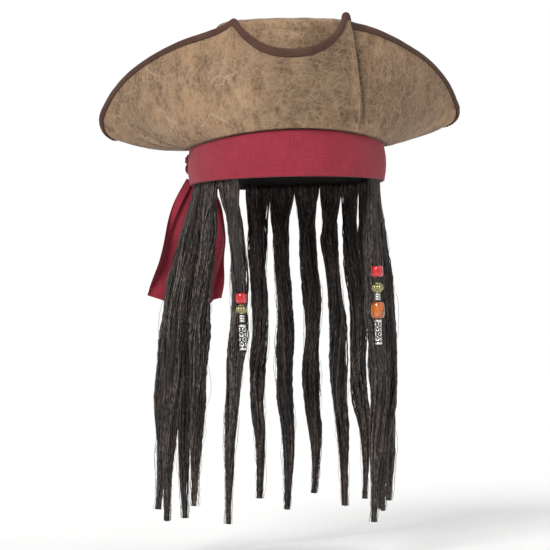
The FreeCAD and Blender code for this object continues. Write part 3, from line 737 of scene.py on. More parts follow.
def make_materials():
    """Every finish of the hat, by the name that the pieces' functions use."""
    return {
        "leather": leather_material(
            "worn_leather", (0.33, 0.207, 0.119), (0.165, 0.099, 0.057), (0.46, 0.33, 0.205)),
        "binding": tape_material("brown_tape", (0.07, 0.029, 0.018), (0.135, 0.063, 0.042)),
        "thread": cord_material("brown_thread", (0.07, 0.034, 0.024), (0.16, 0.085, 0.06)),
        "bandana": cotton_material("crimson_cotton", (0.27, 0.02, 0.036), (0.34, 0.032, 0.054)),
        "lining": cotton_material("dark_lining", (0.035, 0.026, 0.021), (0.06, 0.046, 0.038), 0.0008),
        "sweatband": ribbed_tape_material(
            "ribbed_tape", (0.03, 0.02, 0.017), (0.075, 0.055, 0.045), 0.0016),
        "weft": ribbed_tape_material("weft_tape", (0.012, 0.009, 0.008), (0.04, 0.032, 0.03), 0.0011),
        "hair": hair_material(
            "dread_hair", (0.004, 0.003, 0.0025), (0.02, 0.0145, 0.0115), (0.13, 0.1, 0.085)),
        "cord": cord_material("waxed_cord", (0.008, 0.006, 0.006), (0.03, 0.024, 0.022)),
        "red_bead": gloss_material(
            "red_resin", (0.62, 0.008, 0.016), (0.4, 0.004, 0.01), (0.75, 0.03, 0.04), 0.5),
        "amber_bead": gloss_material(
            "amber_resin", (0.5, 0.11, 0.004), (0.2, 0.026, 0.003), (0.72, 0.32, 0.02), 0.3, 0.2),
        "gold_bead": aged_metal_material("aged_gold", (0.42, 0.385, 0.185), (0.04, 0.036, 0.018), 0.3),
        "silver_metal": aged_metal_material("aged_silver", (0.78, 0.78, 0.77), (0.05, 0.05, 0.052), 0.22),
    }


# ---------------------------------------------------------------- crown
def crown_half_width(height):
    """The crown narrows towards its top, at first slowly."""
    share = np.maximum(0.0, height) / CROWN_SIDE_TOP
    return CROWN_BASE - (CROWN_BASE - CROWN_TOP) * share ** 1.15


def crown_slump(share):
    """How far the crown's top edge stands up at the sides and sinks in front and behind."""
    return CROWN_SLUMP * np.sqrt(np.maximum(0.0, 1 - share ** 2)) - CROWN_SLUMP_LEVEL


def crown_grid(depth, lift, top, columns, rows):
    """Points up the crown's wall, set in from its outer face, and the angles of their columns."""
    angle = ring_angles(columns)
    share = np.linspace(0, 1, rows)[:, None]
    low = seam_height(angle) + lift
    height = low + (top - low) * share
    return oval(crown_half_width(height) - depth, np.broadcast_to(angle, height.shape), height), angle


def make_crown_side(materials):
    """The crown's wall, with level wrinkles that deepen towards the top and sharp small creases."""
    outer, angle = crown_grid(0, 0, CROWN_SIDE_TOP, 300, 66)
    inner, _ = crown_grid(CROWN_WALL, 0, CROWN_SIDE_TOP, 300, 66)
    away = np.broadcast_to(outward(angle), outer.shape)
    up = outer[..., 2]
    strength = fade(0.01, 0.05, up) * (1 - 0.8 * fade(0.088, 0.095, up))
    level = bumps(outer, 34, (0.45, 0.45, 2.4)) * 0.0012
    level = level + bumps(outer, 90, (0.35, 0.35, 2.2)) * 0.0008
    crease = np.clip(1 - 5 * np.abs(bumps(outer + 0.3, 42, (0.4, 0.4, 1.9))), 0, 1) * strength
    # Painted shade low on the wall, below the brim's edge, fading out towards the top; fine level cracks
    # show there too.
    grime = fade(0.03, 0.055, up) * (1 - fade(0.062, 0.09, up))
    push = away * (level * strength - 0.0003 * crease)[..., None]
    push[..., 2] += crown_slump(np.cos(np.radians(angle))) * fade(0.01, CROWN_SIDE_TOP, up)
    made = sheet_object("crown_side_leather", outer + push, inner + push, materials["leather"],
                        size=(0.56, 0.1), values={"crease": crease * 0.35, "grime": grime})
    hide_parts("crown_side")
    return made


def crown_top_rows(depth):
    """The top's section, from its seam over the rounded rim to the middle."""
    radius = CROWN_RIM_RADIUS - depth
    middle_x = CROWN_TOP - CROWN_RIM_RADIUS
    middle_z = CROWN_HEIGHT - CROWN_DOME - CROWN_RIM_RADIUS
    section = [(CROWN_TOP - depth, CROWN_SIDE_TOP)]
    for step in range(9):
        turn = math.radians(11.25 * step)
        section.append((middle_x + radius * math.cos(turn), middle_z + radius * math.sin(turn)))
    rows = 34
    for step in range(1, rows + 1):
        share = 1 - step / (rows + 0.05)
        section.append((middle_x * share, CROWN_HEIGHT - depth - CROWN_DOME * share ** 3))
    return section


def make_crown_top(materials):
    """The crown's top, softly dented, with small wrinkles and fine creases."""
    angle = ring_angles(240)
    grids = []
    for depth in (0, CROWN_WALL):
        section = crown_top_rows(depth)
        grids.append(np.array([oval(half_width, angle, height) for half_width, height in section]))
    outer, inner = grids
    reach = np.linalg.norm(outer[..., :2], axis=-1)
    dent = -CROWN_DENT * fade(0.055, 0.02, reach) * (1 + 0.4 * bumps(outer, 25))
    wrinkle = bumps(outer, 60, (1, 1, 0.3)) * 0.0006 + bumps(outer, 150) * 0.00015
    inside = fade(CROWN_TOP, CROWN_TOP - 0.006, reach)
    push = np.zeros_like(outer)
    slump = crown_slump(outer[..., 1] / (CROWN_TOP * OVAL_RATIO)) * fade(0.015, 0.062, reach)
    push[..., 2] = (dent + wrinkle) * inside + slump
    crease = np.clip(1 - 5 * np.abs(bumps(outer + 0.7, 36)), 0, 1) * inside
    made = sheet_object("crown_top_leather", outer + push, inner + push, materials["leather"],
                        size=(0.45, 0.08), values={"crease": crease * 0.35})
    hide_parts("crown_top")
    return made


def make_lining(materials):
    """The crown's lining, softly gathered, with its gathered round at the top."""
    cloth = 0.0004
    gathers = 24
    side, angle = crown_grid(CROWN_WALL + 0.0004, 0.001, CROWN_SIDE_TOP - 0.004, 288, 30)
    away = np.broadcast_to(outward(angle), side.shape)
    fold = 0.5 + 0.5 * np.sin(np.radians(angle) * gathers + 3 * bumps(side, 18))
    deep = (0.0002 + 0.0012 * fold * fade(0.03, 0.08, side[..., 2]))[..., None]
    walls = sheet_object("lining_side_cloth", side - away * deep, side - away * (deep + cloth),
                         materials["lining"], size=(0.55, 0.1))
    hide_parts("lining_side")
    radius = CROWN_TOP - CROWN_WALL - 0.0006
    shares = np.linspace(1, 0.02, 26)
    rounds = np.array([oval(radius * share, angle, CROWN_SIDE_TOP - 0.0036) for share in shares])
    gather = np.sin(np.radians(angle) * gathers) * 0.0008 * np.minimum(1, 1.5 * shares[:, None]) - 0.0007
    rounds[..., 2] += gather
    upper = rounds.copy()
    upper[..., 2] += cloth
    top = sheet_object("lining_top_cloth", rounds, upper, materials["lining"], size=(0.44, 0.07))
    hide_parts("lining_top")
    return [walls, top]


def tape_loop(name, half_width, low, high, thickness, material, size):
    """A flat tape that stands round the head opening."""
    angle = ring_angles(288)
    section = []
    for share in np.linspace(0, 1, 13):
        section.append((0.0, share))
    for share in np.linspace(1, 0, 13):
        section.append((-thickness, share))
    rows = []
    for depth, share in section:
        height = low(angle) + (high - low(angle)) * share
        rows.append(oval(half_width(height) + depth, angle, height))
    return grid_object(name, np.array(rows), material, wrap_rows=True, size=size)


def make_sweatband(materials):
    """The ribbed tape sewn inside the head opening, with its stitches."""
    made = tape_loop("sweatband_tape", lambda height: crown_half_width(height) - 0.0028,
                     lambda angle: seam_height(angle) + 0.0015, 0.03, 0.0009, materials["sweatband"],
                     (0.56, 0.08))
    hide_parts("sweatband")
    height = 0.0275
    sewn = stitch_ring("sweatband_stitches", crown_half_width(height) - 0.0038, height, 150, 0.0024,
                       materials["thread"])
    return [made, sewn]


# ---------------------------------------------------------------- brim
def stations_at(positions):
    """Base, turning point and edge of the brim's outer face at positions counted in stations."""
    table = np.array([[angle, *edge, run, rise] for angle, edge, run, rise in BRIM_STATIONS])
    index = np.floor(positions).astype(int)
    share = (positions - index)[:, None]
    rows = []
    for step in (-1, 0, 1, 2):
        laps, place = np.divmod(index + step, len(table))
        row = table[place]
        row[:, 0] += 360 * laps
        rows.append(row)
    before, start, end, after = rows
    square = share ** 2
    cube = share ** 3
    values = start * (2 * cube - 3 * square + 1) + end * (3 * square - 2 * cube)
    values += 0.5 * (end - before) * (cube - 2 * square + share) + 0.5 * (after - start) * (cube - square)
    angle, x, forward, up, run, rise = values.T
    base = oval(BRIM_BASE, angle, seam_height(angle))
    turning = base + outward(angle) * run[:, None]
    turning[:, 2] += rise
    return base, turning, np.stack([x, -forward, up], axis=1)


def brim_face(positions, shares):
    """Points of the outer face; shares is (rows, positions), 0 at the seam and 1 at the free edge."""
    base, turning, edge = stations_at(positions)
    share = shares[..., None]
    return base * (1 - share) ** 2 + turning * 2 * share * (1 - share) + edge * share ** 2


def brim_normals(positions, shares):
    """Unit vectors square to the brim, towards the crown."""
    step = 0.02
    along = brim_face(positions + step, shares) - brim_face(positions - step, shares)
    upward = brim_face(positions, shares + step) - brim_face(positions, shares - step)
    return -unit(np.cross(along, upward))


def station_of(angle):
    """Where an angle lies, counted in stations."""
    angles = [station[0] for station in BRIM_STATIONS]
    return float(np.interp(angle, angles, np.arange(len(angles))))


def beside_fold(positions, shares, first, last):
    """How far points lie beside a fold's line, in metres, and 1 where they are within its ends."""
    spacing = 0.0135
    height = 0.1
    start = np.array([station_of(first[0]) * spacing, first[1] * height])
    step = np.array([station_of(last[0]) * spacing, last[1] * height]) - start
    length = np.linalg.norm(step)
    across = np.broadcast_to(positions, shares.shape) * spacing - start[0]
    upward = shares * height - start[1]
    along = (across * step[0] + upward * step[1]) / length ** 2
    side = (across * step[1] - upward * step[0]) / length
    return side, fade(-0.1, 0.25, along) * (1 - fade(0.85, 1.2, along))


def brim_folds(positions, shares):
    """How far the whole brim stands out from its smooth shape, from folds and slow waves."""
    total = np.zeros(shares.shape)
    for first, last, width, rise in BRIM_FOLDS:
        side, ends = beside_fold(positions, shares, first, last)
        total += rise * np.exp(-(np.sqrt(side ** 2 + 0.0005 ** 2) / width)) * ends
    points = brim_face(positions, shares)
    total += (bumps(points, 16) * 0.0016 + bumps(points, 40) * 0.0004) * fade(0.05, 0.5, shares)
    return total


def brim_painted_light(positions, shares):
    """Painted highlight along sharp fold ridges, and painted shade in valleys, on the front panel and just
    behind the front ridge.
    """
    place = brim_face(positions, shares)
    in_front = place[..., 1] < 0
    # Painted shade on the front panel, which faces forward and down.
    grime = fade(-0.05, -0.02, place[..., 0]) * (1 - fade(0.045, 0.056, place[..., 0])) * in_front
    ridge_highlight = np.zeros(shares.shape)
    for first, last, _, rise in BRIM_FOLDS:
        side, ends = beside_fold(positions, shares, first, last)
        line = np.exp(-(side / 0.0012) ** 2) * ends * fade(0.0018, 0.003, abs(rise))
        # Painted highlight along raised fold ridges; painted shade along sunken valleys.
        if rise > 0:
            ridge_highlight += line * 1.8
        else:
            grime += line * 1.6
    # Painted shadow just behind the front ridge, where the right wing is set back from it.
    side, ends = beside_fold(positions, shares, *FRONT_RIDGE)
    grime += fade(0.0005, 0.003, side) * (1 - fade(0.006, 0.035, side)) * ends
    return ridge_highlight, grime


def brim_layer(positions, shares, depth):
    """Points at a depth below the outer face, folds included."""
    normals = brim_normals(positions, shares)
    push = (depth - brim_folds(positions, shares))[..., None]
    return brim_face(positions, shares) + normals * push


def brim_positions(columns_per_station):
    """Even positions round the brim, counted in stations."""
    return np.arange(len(BRIM_STATIONS) * columns_per_station) / columns_per_station


def make_brim_side(name, depth, columns_per_station, rows, nodes, materials):
    """One leather skin of the brim, with its small creases on the side that shows."""
    positions = brim_positions(columns_per_station)
    shares = np.broadcast_to(np.linspace(0, 1, rows)[:, None], (rows, len(positions)))
    face = brim_layer(positions, shares, depth)
    back = brim_layer(positions, shares, depth + LEATHER)
    away = -brim_normals(positions, shares)
    sharp = np.clip(1 - 6 * np.abs(bumps(face + 0.2, 30, (1, 1, 0.8))), 0, 1)
    crease = sharp * fade(0.0, 0.35, bumps(face + 0.9, 18)) * fade(0.02, 0.15, shares)
    small = bumps(face, 120, (1, 1, 0.7)) * 0.00018
    side = 1 if depth == 0 else -1
    push = ((small + crease * 0.0003) * side)[..., None]
    if side == 1:
        face = face + away * push
    else:
        back = back + away * push
    # Painted highlight along the fold ridges, added to the crease value, and painted shade in valleys, on
    # the front panel and behind the front ridge.
    ridge_highlight, grime = brim_painted_light(positions, shares)
    made = sheet_object(name, face, back, materials["leather"], size=(1.1, 0.11),
                        values={"crease": crease + ridge_highlight, "grime": grime})
    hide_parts(*nodes)
    return made


def make_brim_seam(materials):
    """The brim's lower edge, turned in and sewn to the crown's wall: a closed ring."""
    positions = brim_positions(EDGE_COLUMNS)
    edge = np.full((1, len(positions)), 0.02)
    under = brim_layer(positions, edge, 0.0004)[0]
    over = brim_layer(positions, edge, BRIM_THICKNESS - 0.0004)[0]
    reach = (CROWN_BASE - 0.0005) / BRIM_BASE
    wall = stations_at(positions)[0] * [reach, reach, 1]
    corners = [under, wall + [0, 0, 0.0006], wall + [0, 0, 0.005], over]
    rows = []
    for start, end in zip(corners, corners[1:] + corners[:1]):
        for share in (0, 0.3, 0.7):
            rows.append(start + (end - start) * share)
    return grid_object("brim_seam", np.array(rows), materials["leather"], wrap_rows=True, size=(0.6, 0.01))


def binding_width(positions):
    """The tape's visible width at positions counted in stations."""
    angles = [station[0] for station in BRIM_STATIONS] + [180]
    angle = np.interp(positions % len(BRIM_STATIONS), np.arange(len(angles)), angles)
    return BINDING_WIDTH + BINDING_EXTRA_WIDTH * np.maximum(0, np.cos(np.radians(angle))) ** 2


def binding_section():
    """The folded tape's section, as (share of its width back, distance back, depth below the outer face)."""
    gap = 0.0002
    near = -gap
    far = BRIM_THICKNESS + gap
    middle = BRIM_THICKNESS / 2
    half_out = far - middle + BINDING
    outside = []
    for share in np.linspace(0, 1, 8):
        puff = 0.0004 * math.sin(math.pi * share) ** 0.7
        outside.append((1 - share, 0.0016 * share, near - BINDING * (0.5 + 0.5 * share ** 0.3) - puff))
    arc = []
    for step in range(1, 10):
        turn = math.pi * step / 10
        arc.append((0, 0.0016 - 0.0029 * math.sin(turn), middle - half_out * math.cos(turn)))
    back = [(share, distance, 2 * middle - depth) for share, distance, depth in outside[::-1]]
    inner = [(0.98, 0, far), (0.5, 0, far), (0, 0.0002, far - 0.0006), (0, 0.0002, near + 0.0006),
             (0.5, 0, near), (0.98, 0, near)]
    return outside + arc + back + inner


def edge_row(positions, width_share, distance, depth):
    """A row of points back from the free edge; a negative distance is beyond it."""
    _, turning, edge = stations_at(positions)
    slope = (edge - turning) * 2
    length = np.linalg.norm(slope, axis=1)
    back = width_share * binding_width(positions) + distance
    shares = (1 - np.maximum(0.0, back) / length)[None, :]
    row = brim_layer(positions, shares, depth)[0]
    return row + slope / length[:, None] * np.maximum(0.0, -back)[:, None]


def make_binding(materials):
    """Folded tape sewn over the brim's edge, with a row of stitches on each side."""
    positions = brim_positions(EDGE_COLUMNS)
    rows = np.array([edge_row(positions, *place) for place in binding_section()])
    lumps = bumps(rows, 130) * 0.00015
    middle = rows.mean(axis=0, keepdims=True)
    rows = rows + unit(rows - middle) * lumps[..., None]
    tape = grid_object("brim_binding_tape", rows, materials["binding"], wrap_rows=True, size=(1.12, 0.03))
    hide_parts("brim_binding")
    return [tape, *binding_stitches(materials)]


def binding_stitches(materials):
    """Evenly spaced stitches along the tape, on the brim's outer and inner side."""
    count = BINDING_STITCHES
    row_share = BINDING_STITCH_ROW
    fine = np.linspace(0, len(BRIM_STATIONS), 3001)
    travelled = travel(edge_row(fine, row_share, 0, 0))
    spots = np.interp((np.arange(count) + 0.5) / count * travelled[-1], travelled, fine)
    shares = np.full((1, count), 0.93)
    normals = brim_normals(spots, shares)[0]
    along = unit(edge_row(spots + 0.02, row_share, 0, 0) - edge_row(spots - 0.02, row_share, 0, 0))
    aside = unit(np.cross(along, normals))
    made = []
    for side, depth, out in (("outer", -0.00125, -1), ("inner", 0.00525, 1)):
        places = edge_row(spots, row_share, 0, depth)
        upright = unit(np.cross(aside, along)) * out
        made.append(stitches("binding_stitches_" + side, places, along, upright, 0.0026, 0.00055,
                             materials["thread"]))
    return made


# ---------------------------------------------------------------- bandana
def from_knot(angle):
    """Degrees round the band from the knot, from -180 to 180."""
    return (angle - KNOT_ANGLE + 180) % 360 - 180


def band_push(points, angle, share):
    """Soft upright puckers in the band, and folds that gather towards the knot."""
    soft = bumps(points, 26, (1, 1, 0.25)) * 0.0011 + bumps(points, 75, (1, 1, 0.4)) * 0.0003
    soft = soft * np.sin(math.pi * share) ** 0.5
    wrinkle = 0.0009 * np.exp(-((angle - 21 - 3 * share) / 1.6) ** 2) * np.sin(math.pi * share)
    beside = np.abs(from_knot(angle))
    near = np.exp(-(beside / 17) ** 2)
    gathers = 0.0016 * near * np.sin(9 * (share - 0.5) * (1 + 0.02 * beside) * math.pi + 0.6)
    return soft + wrinkle + gathers * np.sin(math.pi * share) ** 0.5


def band_section():
    """The band's section, as (share of the way down, distance out from its inner face)."""
    section = [(share, BAND_THICKNESS) for share in np.linspace(0.03, 0.97, 34)]
    for step in range(1, 8):
        turn = math.pi * step / 8
        section.append((0.97 + 0.03 * math.sin(turn), BAND_THICKNESS * (0.5 + 0.5 * math.cos(turn))))
    section += [(share, 0.0) for share in np.linspace(0.97, 0.03, 18)]
    for step in range(1, 8):
        turn = math.pi * step / 8
        section.append((0.03 - 0.03 * math.sin(turn), BAND_THICKNESS * (0.5 - 0.5 * math.cos(turn))))
    return section


def make_band(materials):
    """The folded cloth round the head: soft rolled edges above and below, and a hem line."""
    angle = ring_angles(360) - 180
    rows = []
    for share, depth in band_section():
        top = seam_height(angle) - 0.0006
        height = top + (BAND_BOTTOM - top) * share
        swell = BAND_BULGE * math.sin(math.pi * share)
        row = oval(BAND_INNER + swell + depth, angle, height)
        if depth > BAND_THICKNESS * 0.99:
            hem = -0.0004 * math.exp(-((share - 0.9) / 0.012) ** 2)
            row = row + outward(angle) * (band_push(row, angle, share) + hem)[:, None]
        rows.append(row)
    band = grid_object("bandana_band_cloth", np.array(rows), materials["bandana"], wrap_rows=True,
                       size=(0.6, 0.092))
    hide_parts("bandana_band")
    return band


def make_knot(materials):
    """The tied cloth: one pleated roll of it laid through itself."""
    turn = ring_turns(260)
    line = np.stack([
        -np.sin(3 * turn) * 0.0042,
        (np.sin(turn) + 2 * np.sin(2 * turn)) * 0.0034,
        (np.cos(turn) - 2 * np.cos(2 * turn)) * 0.0024,
    ], axis=1)
    ahead = unit(np.roll(line, -1, axis=0) - np.roll(line, 1, axis=0))
    across = unit(np.cross(ahead, np.array([1.0, 0.05, 0.1])))
    aside = np.cross(ahead, across)
    rows = []
    for angle in ring_turns(54):
        pleat = 1 + 0.09 * np.sin(7 * angle + 3 * turn) + 0.06 * np.sin(4 * angle - 2 * turn)
        radius = (0.0046 * pleat)[:, None]
        rows.append(line + across * (radius * math.cos(angle)) + aside * (radius * math.sin(angle)))
    points = np.array(rows)
    out = outward(KNOT_ANGLE)
    side = np.array([-out[1], out[0], 0])
    basis = np.stack([out, side, [0, 0, 1]])
    centre = oval(KNOT_REACH, KNOT_ANGLE, KNOT_HEIGHT) + out * KNOT_STAND_OFF
    points = points @ basis + centre
    knot = grid_object("bandana_knot_cloth", points, materials["bandana"], wrap_rows=True, size=(0.12, 0.03))
    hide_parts("bandana_knot")
    return knot


def make_tail(name, node, body, lines, seed, flat, materials):
    """One hanging end: pleated where it leaves the knot, opening into soft folds, cut on a slant below."""
    starts = np.array([start for start, _ in lines])
    ends = np.array([end for _, end in lines])
    rows = 84
    columns = 60
    stations = np.arange(len(lines))
    share = np.linspace(0, 1, rows)
    down = np.linspace(0, len(lines) - 1, rows)
    first = np.stack([np.interp(down, stations, starts[:, k]) for k in range(3)], axis=1)
    last = np.stack([np.interp(down, stations, ends[:, k]) for k in range(3)], axis=1)
    for _ in range(40):
        first[1:-1] = (first[:-2] + 2 * first[1:-1] + first[2:]) / 4
        last[1:-1] = (last[:-2] + 2 * last[1:-1] + last[2:]) / 4
    across = np.linspace(0, 1, columns)
    middle = (first + last) / 2
    ahead = unit(np.gradient(middle, axis=0))
    width = last - first
    square = unit(np.cross(width, ahead))
    wander = 1.3 * np.sin(2.2 * share * math.pi + seed)[:, None]
    wide = 2 * math.pi * (1.15 * across[None, :] + 0.1 * seed) + wander
    tight = 2 * math.pi * (3.2 * across[None, :] + 0.3 * seed) + 0.6 * wander
    loosen = fade(0.0, 0.75, share)[:, None]
    push = 0.0034 * (1 - loosen) * np.sin(tight) + (0.0008 + 0.0032 * loosen) * np.sin(wide)
    slip = 0.12 * np.cos(wide) * loosen / 2.3
    grid = first[:, None] + width[:, None] * (across + slip * np.sin(math.pi * across))[..., None]
    grid = grid + square[:, None] * push[..., None]
    grid = grid + square[:, None] * (bumps(grid, 90, (1, 1, 0.5)) * 0.0006 * loosen)[..., None]
    hem = np.exp(-((share - 0.965) / 0.008) ** 2)[:, None] * 0.0003
    side_hem = np.exp(-((np.minimum(across, 1 - across) - 0.05) / 0.012) ** 2)[None, :] * 0.0003
    half = (TAIL_CLOTH / 2 + 0.00025 * fade(0.97, 0.98, share)[:, None] - hem - side_hem)[..., None]
    front = grid + square[:, None] * half
    back = grid - square[:, None] * half
    tail = sheet_object(name, front, back, materials["bandana"], wrap_columns=False, size=flat)
    attach(tail, node, body)
    return tail


# ---------------------------------------------------------------- cords
def spline_line(points, count):
    """Evenly spaced points along the smooth curve that the route's points control."""
    data = bpy.data.curves.new("route", "CURVE")
    data.dimensions = "3D"
    data.resolution_u = 24
    spline = data.splines.new("NURBS")
    spline.points.add(len(points) - 1)
    for place, point in zip(spline.points, points):
        place.co = (*point, 1)
    spline.order_u = 3
    spline.use_endpoint_u = True
    holder = bpy.data.objects.new("route", data)
    mesh = bpy.data.meshes.new_from_object(holder)
    line = np.array([vertex.co for vertex in mesh.vertices])
    bpy.data.objects.remove(holder)
    bpy.data.curves.remove(data)
    bpy.data.meshes.remove(mesh)
    travelled = travel(line)
    spots = np.linspace(0, travelled[-1], count)
    return np.stack([np.interp(spots, travelled, line[:, k]) for k in range(3)], axis=1)


def frames_along(line, start):
    """Two unit vectors square to the line at each point, that turn as little as they can along it."""
    ahead = unit(np.gradient(line, axis=0))
    across = []
    now = np.array(start, float)
    for direction in ahead:
        now = now - direction * (now @ direction)
        now = now / np.linalg.norm(now)
        across.append(now)
    across = np.array(across)
    return across, np.cross(ahead, across)


def lock_route(angle, route):
    """The lock's root, at its top, and its given points below."""
    root = oval(LOCK_ROOT, angle, BAND_BOTTOM - 0.0006)
    away = outward(angle)
    back = np.cross(away, [0, 0, 1]) * (1 if angle < 0 else -1)
    points = [root]
    for out, side, height in route:
        points.append(np.array([root[0], root[1], height]) + away * out + back * side)
    return points, away


def lock_strands(generator, along):
    """Where each strand lies in the lock's section, as (across, aside), and its radius, along the lock."""
    clumps = LOCK_CLUMPS
    count = clumps * STRANDS_PER_CLUMP
    clump = np.repeat(np.arange(clumps), STRANDS_PER_CLUMP)
    twist = generator.uniform(0.25, 0.6) * generator.choice([-1, 1])
    clump_turn = 2 * math.pi * (np.arange(clumps) / clumps)[:, None] + 2 * math.pi * twist * along
    clump_turn = clump_turn + ripple(generator, clumps, along, (1.5, 3), 0.35)
    clump_reach = CLUMP_REACH + ripple(generator, clumps, along, (2, 4), 0.0009)
    clump_reach[0] *= 0.25
    turn = generator.uniform(0, 2 * math.pi, (count, 1)) + ripple(generator, count, along, (1, 2.5, 5), 0.9)
    reach = STRAND_REACH * np.sqrt(generator.uniform(0.05, 1, (count, 1)))
    reach = reach + ripple(generator, count, along, (3, 7, 14), 0.0005)
    across = clump_reach[clump] * np.cos(clump_turn[clump]) + reach * np.cos(turn)
    aside = clump_reach[clump] * np.sin(clump_turn[clump]) + reach * np.sin(turn)
    across = across + ripple(generator, count, along, (21, 32), CRINKLE)
    aside = aside + ripple(generator, count, along, (21, 32), CRINKLE)
    slow = np.sin(2 * math.pi * (2.3 * along + generator.uniform()))
    quick = np.sin(2 * math.pi * (5.1 * along + generator.uniform()))
    swell = 1 + 0.1 * slow + 0.06 * quick
    taper = swell * (1 - 0.72 * fade(0.6, 1.0, along))
    thickness = generator.uniform(0.0005, 0.00105, (count, 1)) * (1 - 0.35 * fade(0.75, 1.0, along))
    return across * taper, aside * taper, thickness * np.ones_like(across)


def loose_hairs(generator, along):
    """Single hairs that bow out of the lock and back, as lock_strands gives its strands."""
    count = LOOSE_HAIRS
    middle = generator.uniform(0.1, 0.95, (count, 1))
    bow = np.exp(-((along - middle) / generator.uniform(0.06, 0.18, (count, 1))) ** 2)
    taper = 1 - 0.5 * fade(0.6, 1.0, along)
    reach = (0.0065 + 0.0045 * generator.uniform(0.2, 1, (count, 1)) * bow) * taper
    turn = generator.uniform(0, 2 * math.pi, (count, 1)) + ripple(generator, count, along, (1, 2), 0.6)
    reach = reach + ripple(generator, count, along, (4, 9, 18, 30), 0.003)
    thickness = np.full((count, len(along)), LOOSE_HAIR_RADIUS)
    return reach * np.cos(turn), reach * np.sin(turn), thickness


def drawn_together(along):
    """0 at the lock's flat root, and 1 from where its hair has drawn together."""
    return fade(0.0, 0.17, along)


def make_lock(name, number, materials):
    """One dreadlock: clumps of fine strands round a core that is painted darkest as shade inside the lock,
    spread flat where they are sewn on.
    """
    angle, length, route = LOCKS[name]
    points, away = lock_route(angle, route)
    line = spline_line(points, LOCK_RINGS)
    across, aside = frames_along(line, away)
    generator = np.random.default_rng(100 + number)
    along = np.linspace(0, 1, LOCK_RINGS)
    bulk = lock_strands(generator, along)
    loose = loose_hairs(generator, along)
    offset_across, offset_aside, thickness = [np.concatenate(pair) for pair in zip(bulk, loose)]
    count = len(offset_across)
    gather = drawn_together(along)
    places = np.linspace(-ROOT_HALF_WIDTH, ROOT_HALF_WIDTH, count)
    root_aside = places[generator.permutation(count)][:, None]
    root_across = generator.uniform(0.0015, 0.0052, (count, 1))
    offset_across = root_across * (1 - gather) + offset_across * gather
    offset_aside = root_aside * (1 - gather) + offset_aside * gather
    slide = np.minimum(0, generator.uniform(-0.018, 0.07, (count, 1))) * fade(0.7, 1.0, along)
    lift = ROOT_LIFT * (1 - fade(0.0, 0.03, along))
    ahead = np.cross(across, aside)
    centres = line + offset_across[..., None] * across + offset_aside[..., None] * aside
    centres = centres + (slide - lift)[..., None] * ahead
    sides = 4
    strand_points, faces = tubes(centres, across, aside, thickness, sides)
    shade = np.repeat(generator.uniform(0, 1, count), LOCK_RINGS * sides)
    core_points, core_faces = lock_core(line, across, aside, along, generator)
    faces = faces + shifted(core_faces, len(strand_points))
    # The core takes the darkest shade: painted shade deep in the lock, where it shows between the strands.
    shade = np.concatenate([shade, np.zeros(len(core_points))])
    lock = finish_mesh(name + "_hair", np.concatenate([strand_points, core_points]), faces,
                       materials["hair"], values={"shade": shade})
    attach(lock, name, name)
    return lock


def lock_core(line, across, aside, along, generator):
    """The matted middle of a lock, grooved along its length, flat at the root and thin at the tip."""
    sides = 20
    turn = ring_turns(sides)
    wide = np.sin(5 * turn[None] + 9 * along[:, None])
    narrow = np.sin(9 * turn[None] - 14 * along[:, None] + generator.uniform(0, 6))
    grooves = 1 + 0.12 * wide + 0.08 * narrow
    taper = 1 - 0.8 * fade(0.55, 0.97, along)
    gather = drawn_together(along)
    reach_across = (0.0012 * (1 - gather) + CORE_RADIUS * gather * taper)[:, None] * grooves
    reach_aside = (0.0105 * (1 - gather) + CORE_RADIUS * gather * taper)[:, None] * grooves
    shift = (0.0035 * (1 - gather))[:, None, None] * across[:, None]
    points = line[:, None] + shift + (reach_across * np.cos(turn))[..., None] * across[:, None]
    points = points + (reach_aside * np.sin(turn))[..., None] * aside[:, None]
    return points.reshape(-1, 3), capped_faces(len(line), sides)


# ---------------------------------------------------------------- bead strings
def make_string(side, materials):
    """A twisted waxed cord with its beads and its charm."""
    length, route, pieces = STRINGS[side]
    points = [(x, -forward, up) for x, forward, up in route]
    line = spline_line(points, 340)
    across, aside = frames_along(line, (1, 0, 0))
    travelled = np.linspace(0, length, len(line))
    plies = []
    for ply in range(STRING_PLIES):
        turn = 2 * math.pi * (travelled / STRING_TWIST + ply / STRING_PLIES)
        round_middle = np.cos(turn)[:, None] * across + np.sin(turn)[:, None] * aside
        plies.append(line + STRING_PLY_RADIUS * round_middle)
    radii = np.full((STRING_PLIES, len(line)), STRING_PLY_RADIUS)
    tube_points, faces = tubes(np.array(plies), across, aside, radii, 8)
    cord = finish_mesh("bead_cord_" + side, tube_points, faces, materials["cord"])
    body = "bead_string_" + side
    attach(cord, "string_" + side, body)
    made = [make_bead(piece, line, body, materials) for piece in pieces]
    return [cord, *made]


def glass_bead(radius, length):
    """A rounded barrel with a drilled hole and a small lip round it."""
    half = length / 2
    outline = [(BEAD_BORE, -half * 0.9), (BEAD_BORE + 0.0003, -half)]
    for step in range(25):
        share = -1 + step / 12
        bulge = (1 - abs(share) ** 3.2) ** 0.5 if abs(share) < 1 else 0
        outline.append((radius * (0.62 + 0.38 * bulge), half * share * 0.98))
    outline += [(BEAD_BORE + 0.0003, half), (BEAD_BORE, half * 0.9)]
    points = turned_grid(outline, 48)
    return points, np.ones(points.shape[:2])


def ribbed_bead(radius, length):
    """A cast bead with upright lobes and a small collar at each end."""
    half = length / 2
    outline = [(BEAD_BORE, -half), (radius * 0.5, -half), (radius * 0.52, -half * 0.86)]
    for step in range(21):
        turn = math.radians(-62 + 6.2 * step)
        height = half * 0.84 * math.sin(turn) / math.sin(math.radians(62))
        outline.append((radius * math.cos(turn), height))
    outline += [(radius * 0.52, half * 0.86), (radius * 0.5, half), (BEAD_BORE, half)]
    sides = 120
    groove = 0.17
    points = turned_grid(outline, sides)
    lobes = np.abs(np.cos(5.5 * ring_turns(sides))) ** 0.6
    body = np.array([fade(0.55, 0.8, r / radius) for r, _ in outline])[:, None]
    depth = (1 - lobes)[None, :] * groove * body
    points[..., :2] *= (1 - depth)[..., None]
    return points, 1 - depth / groove * 0.95


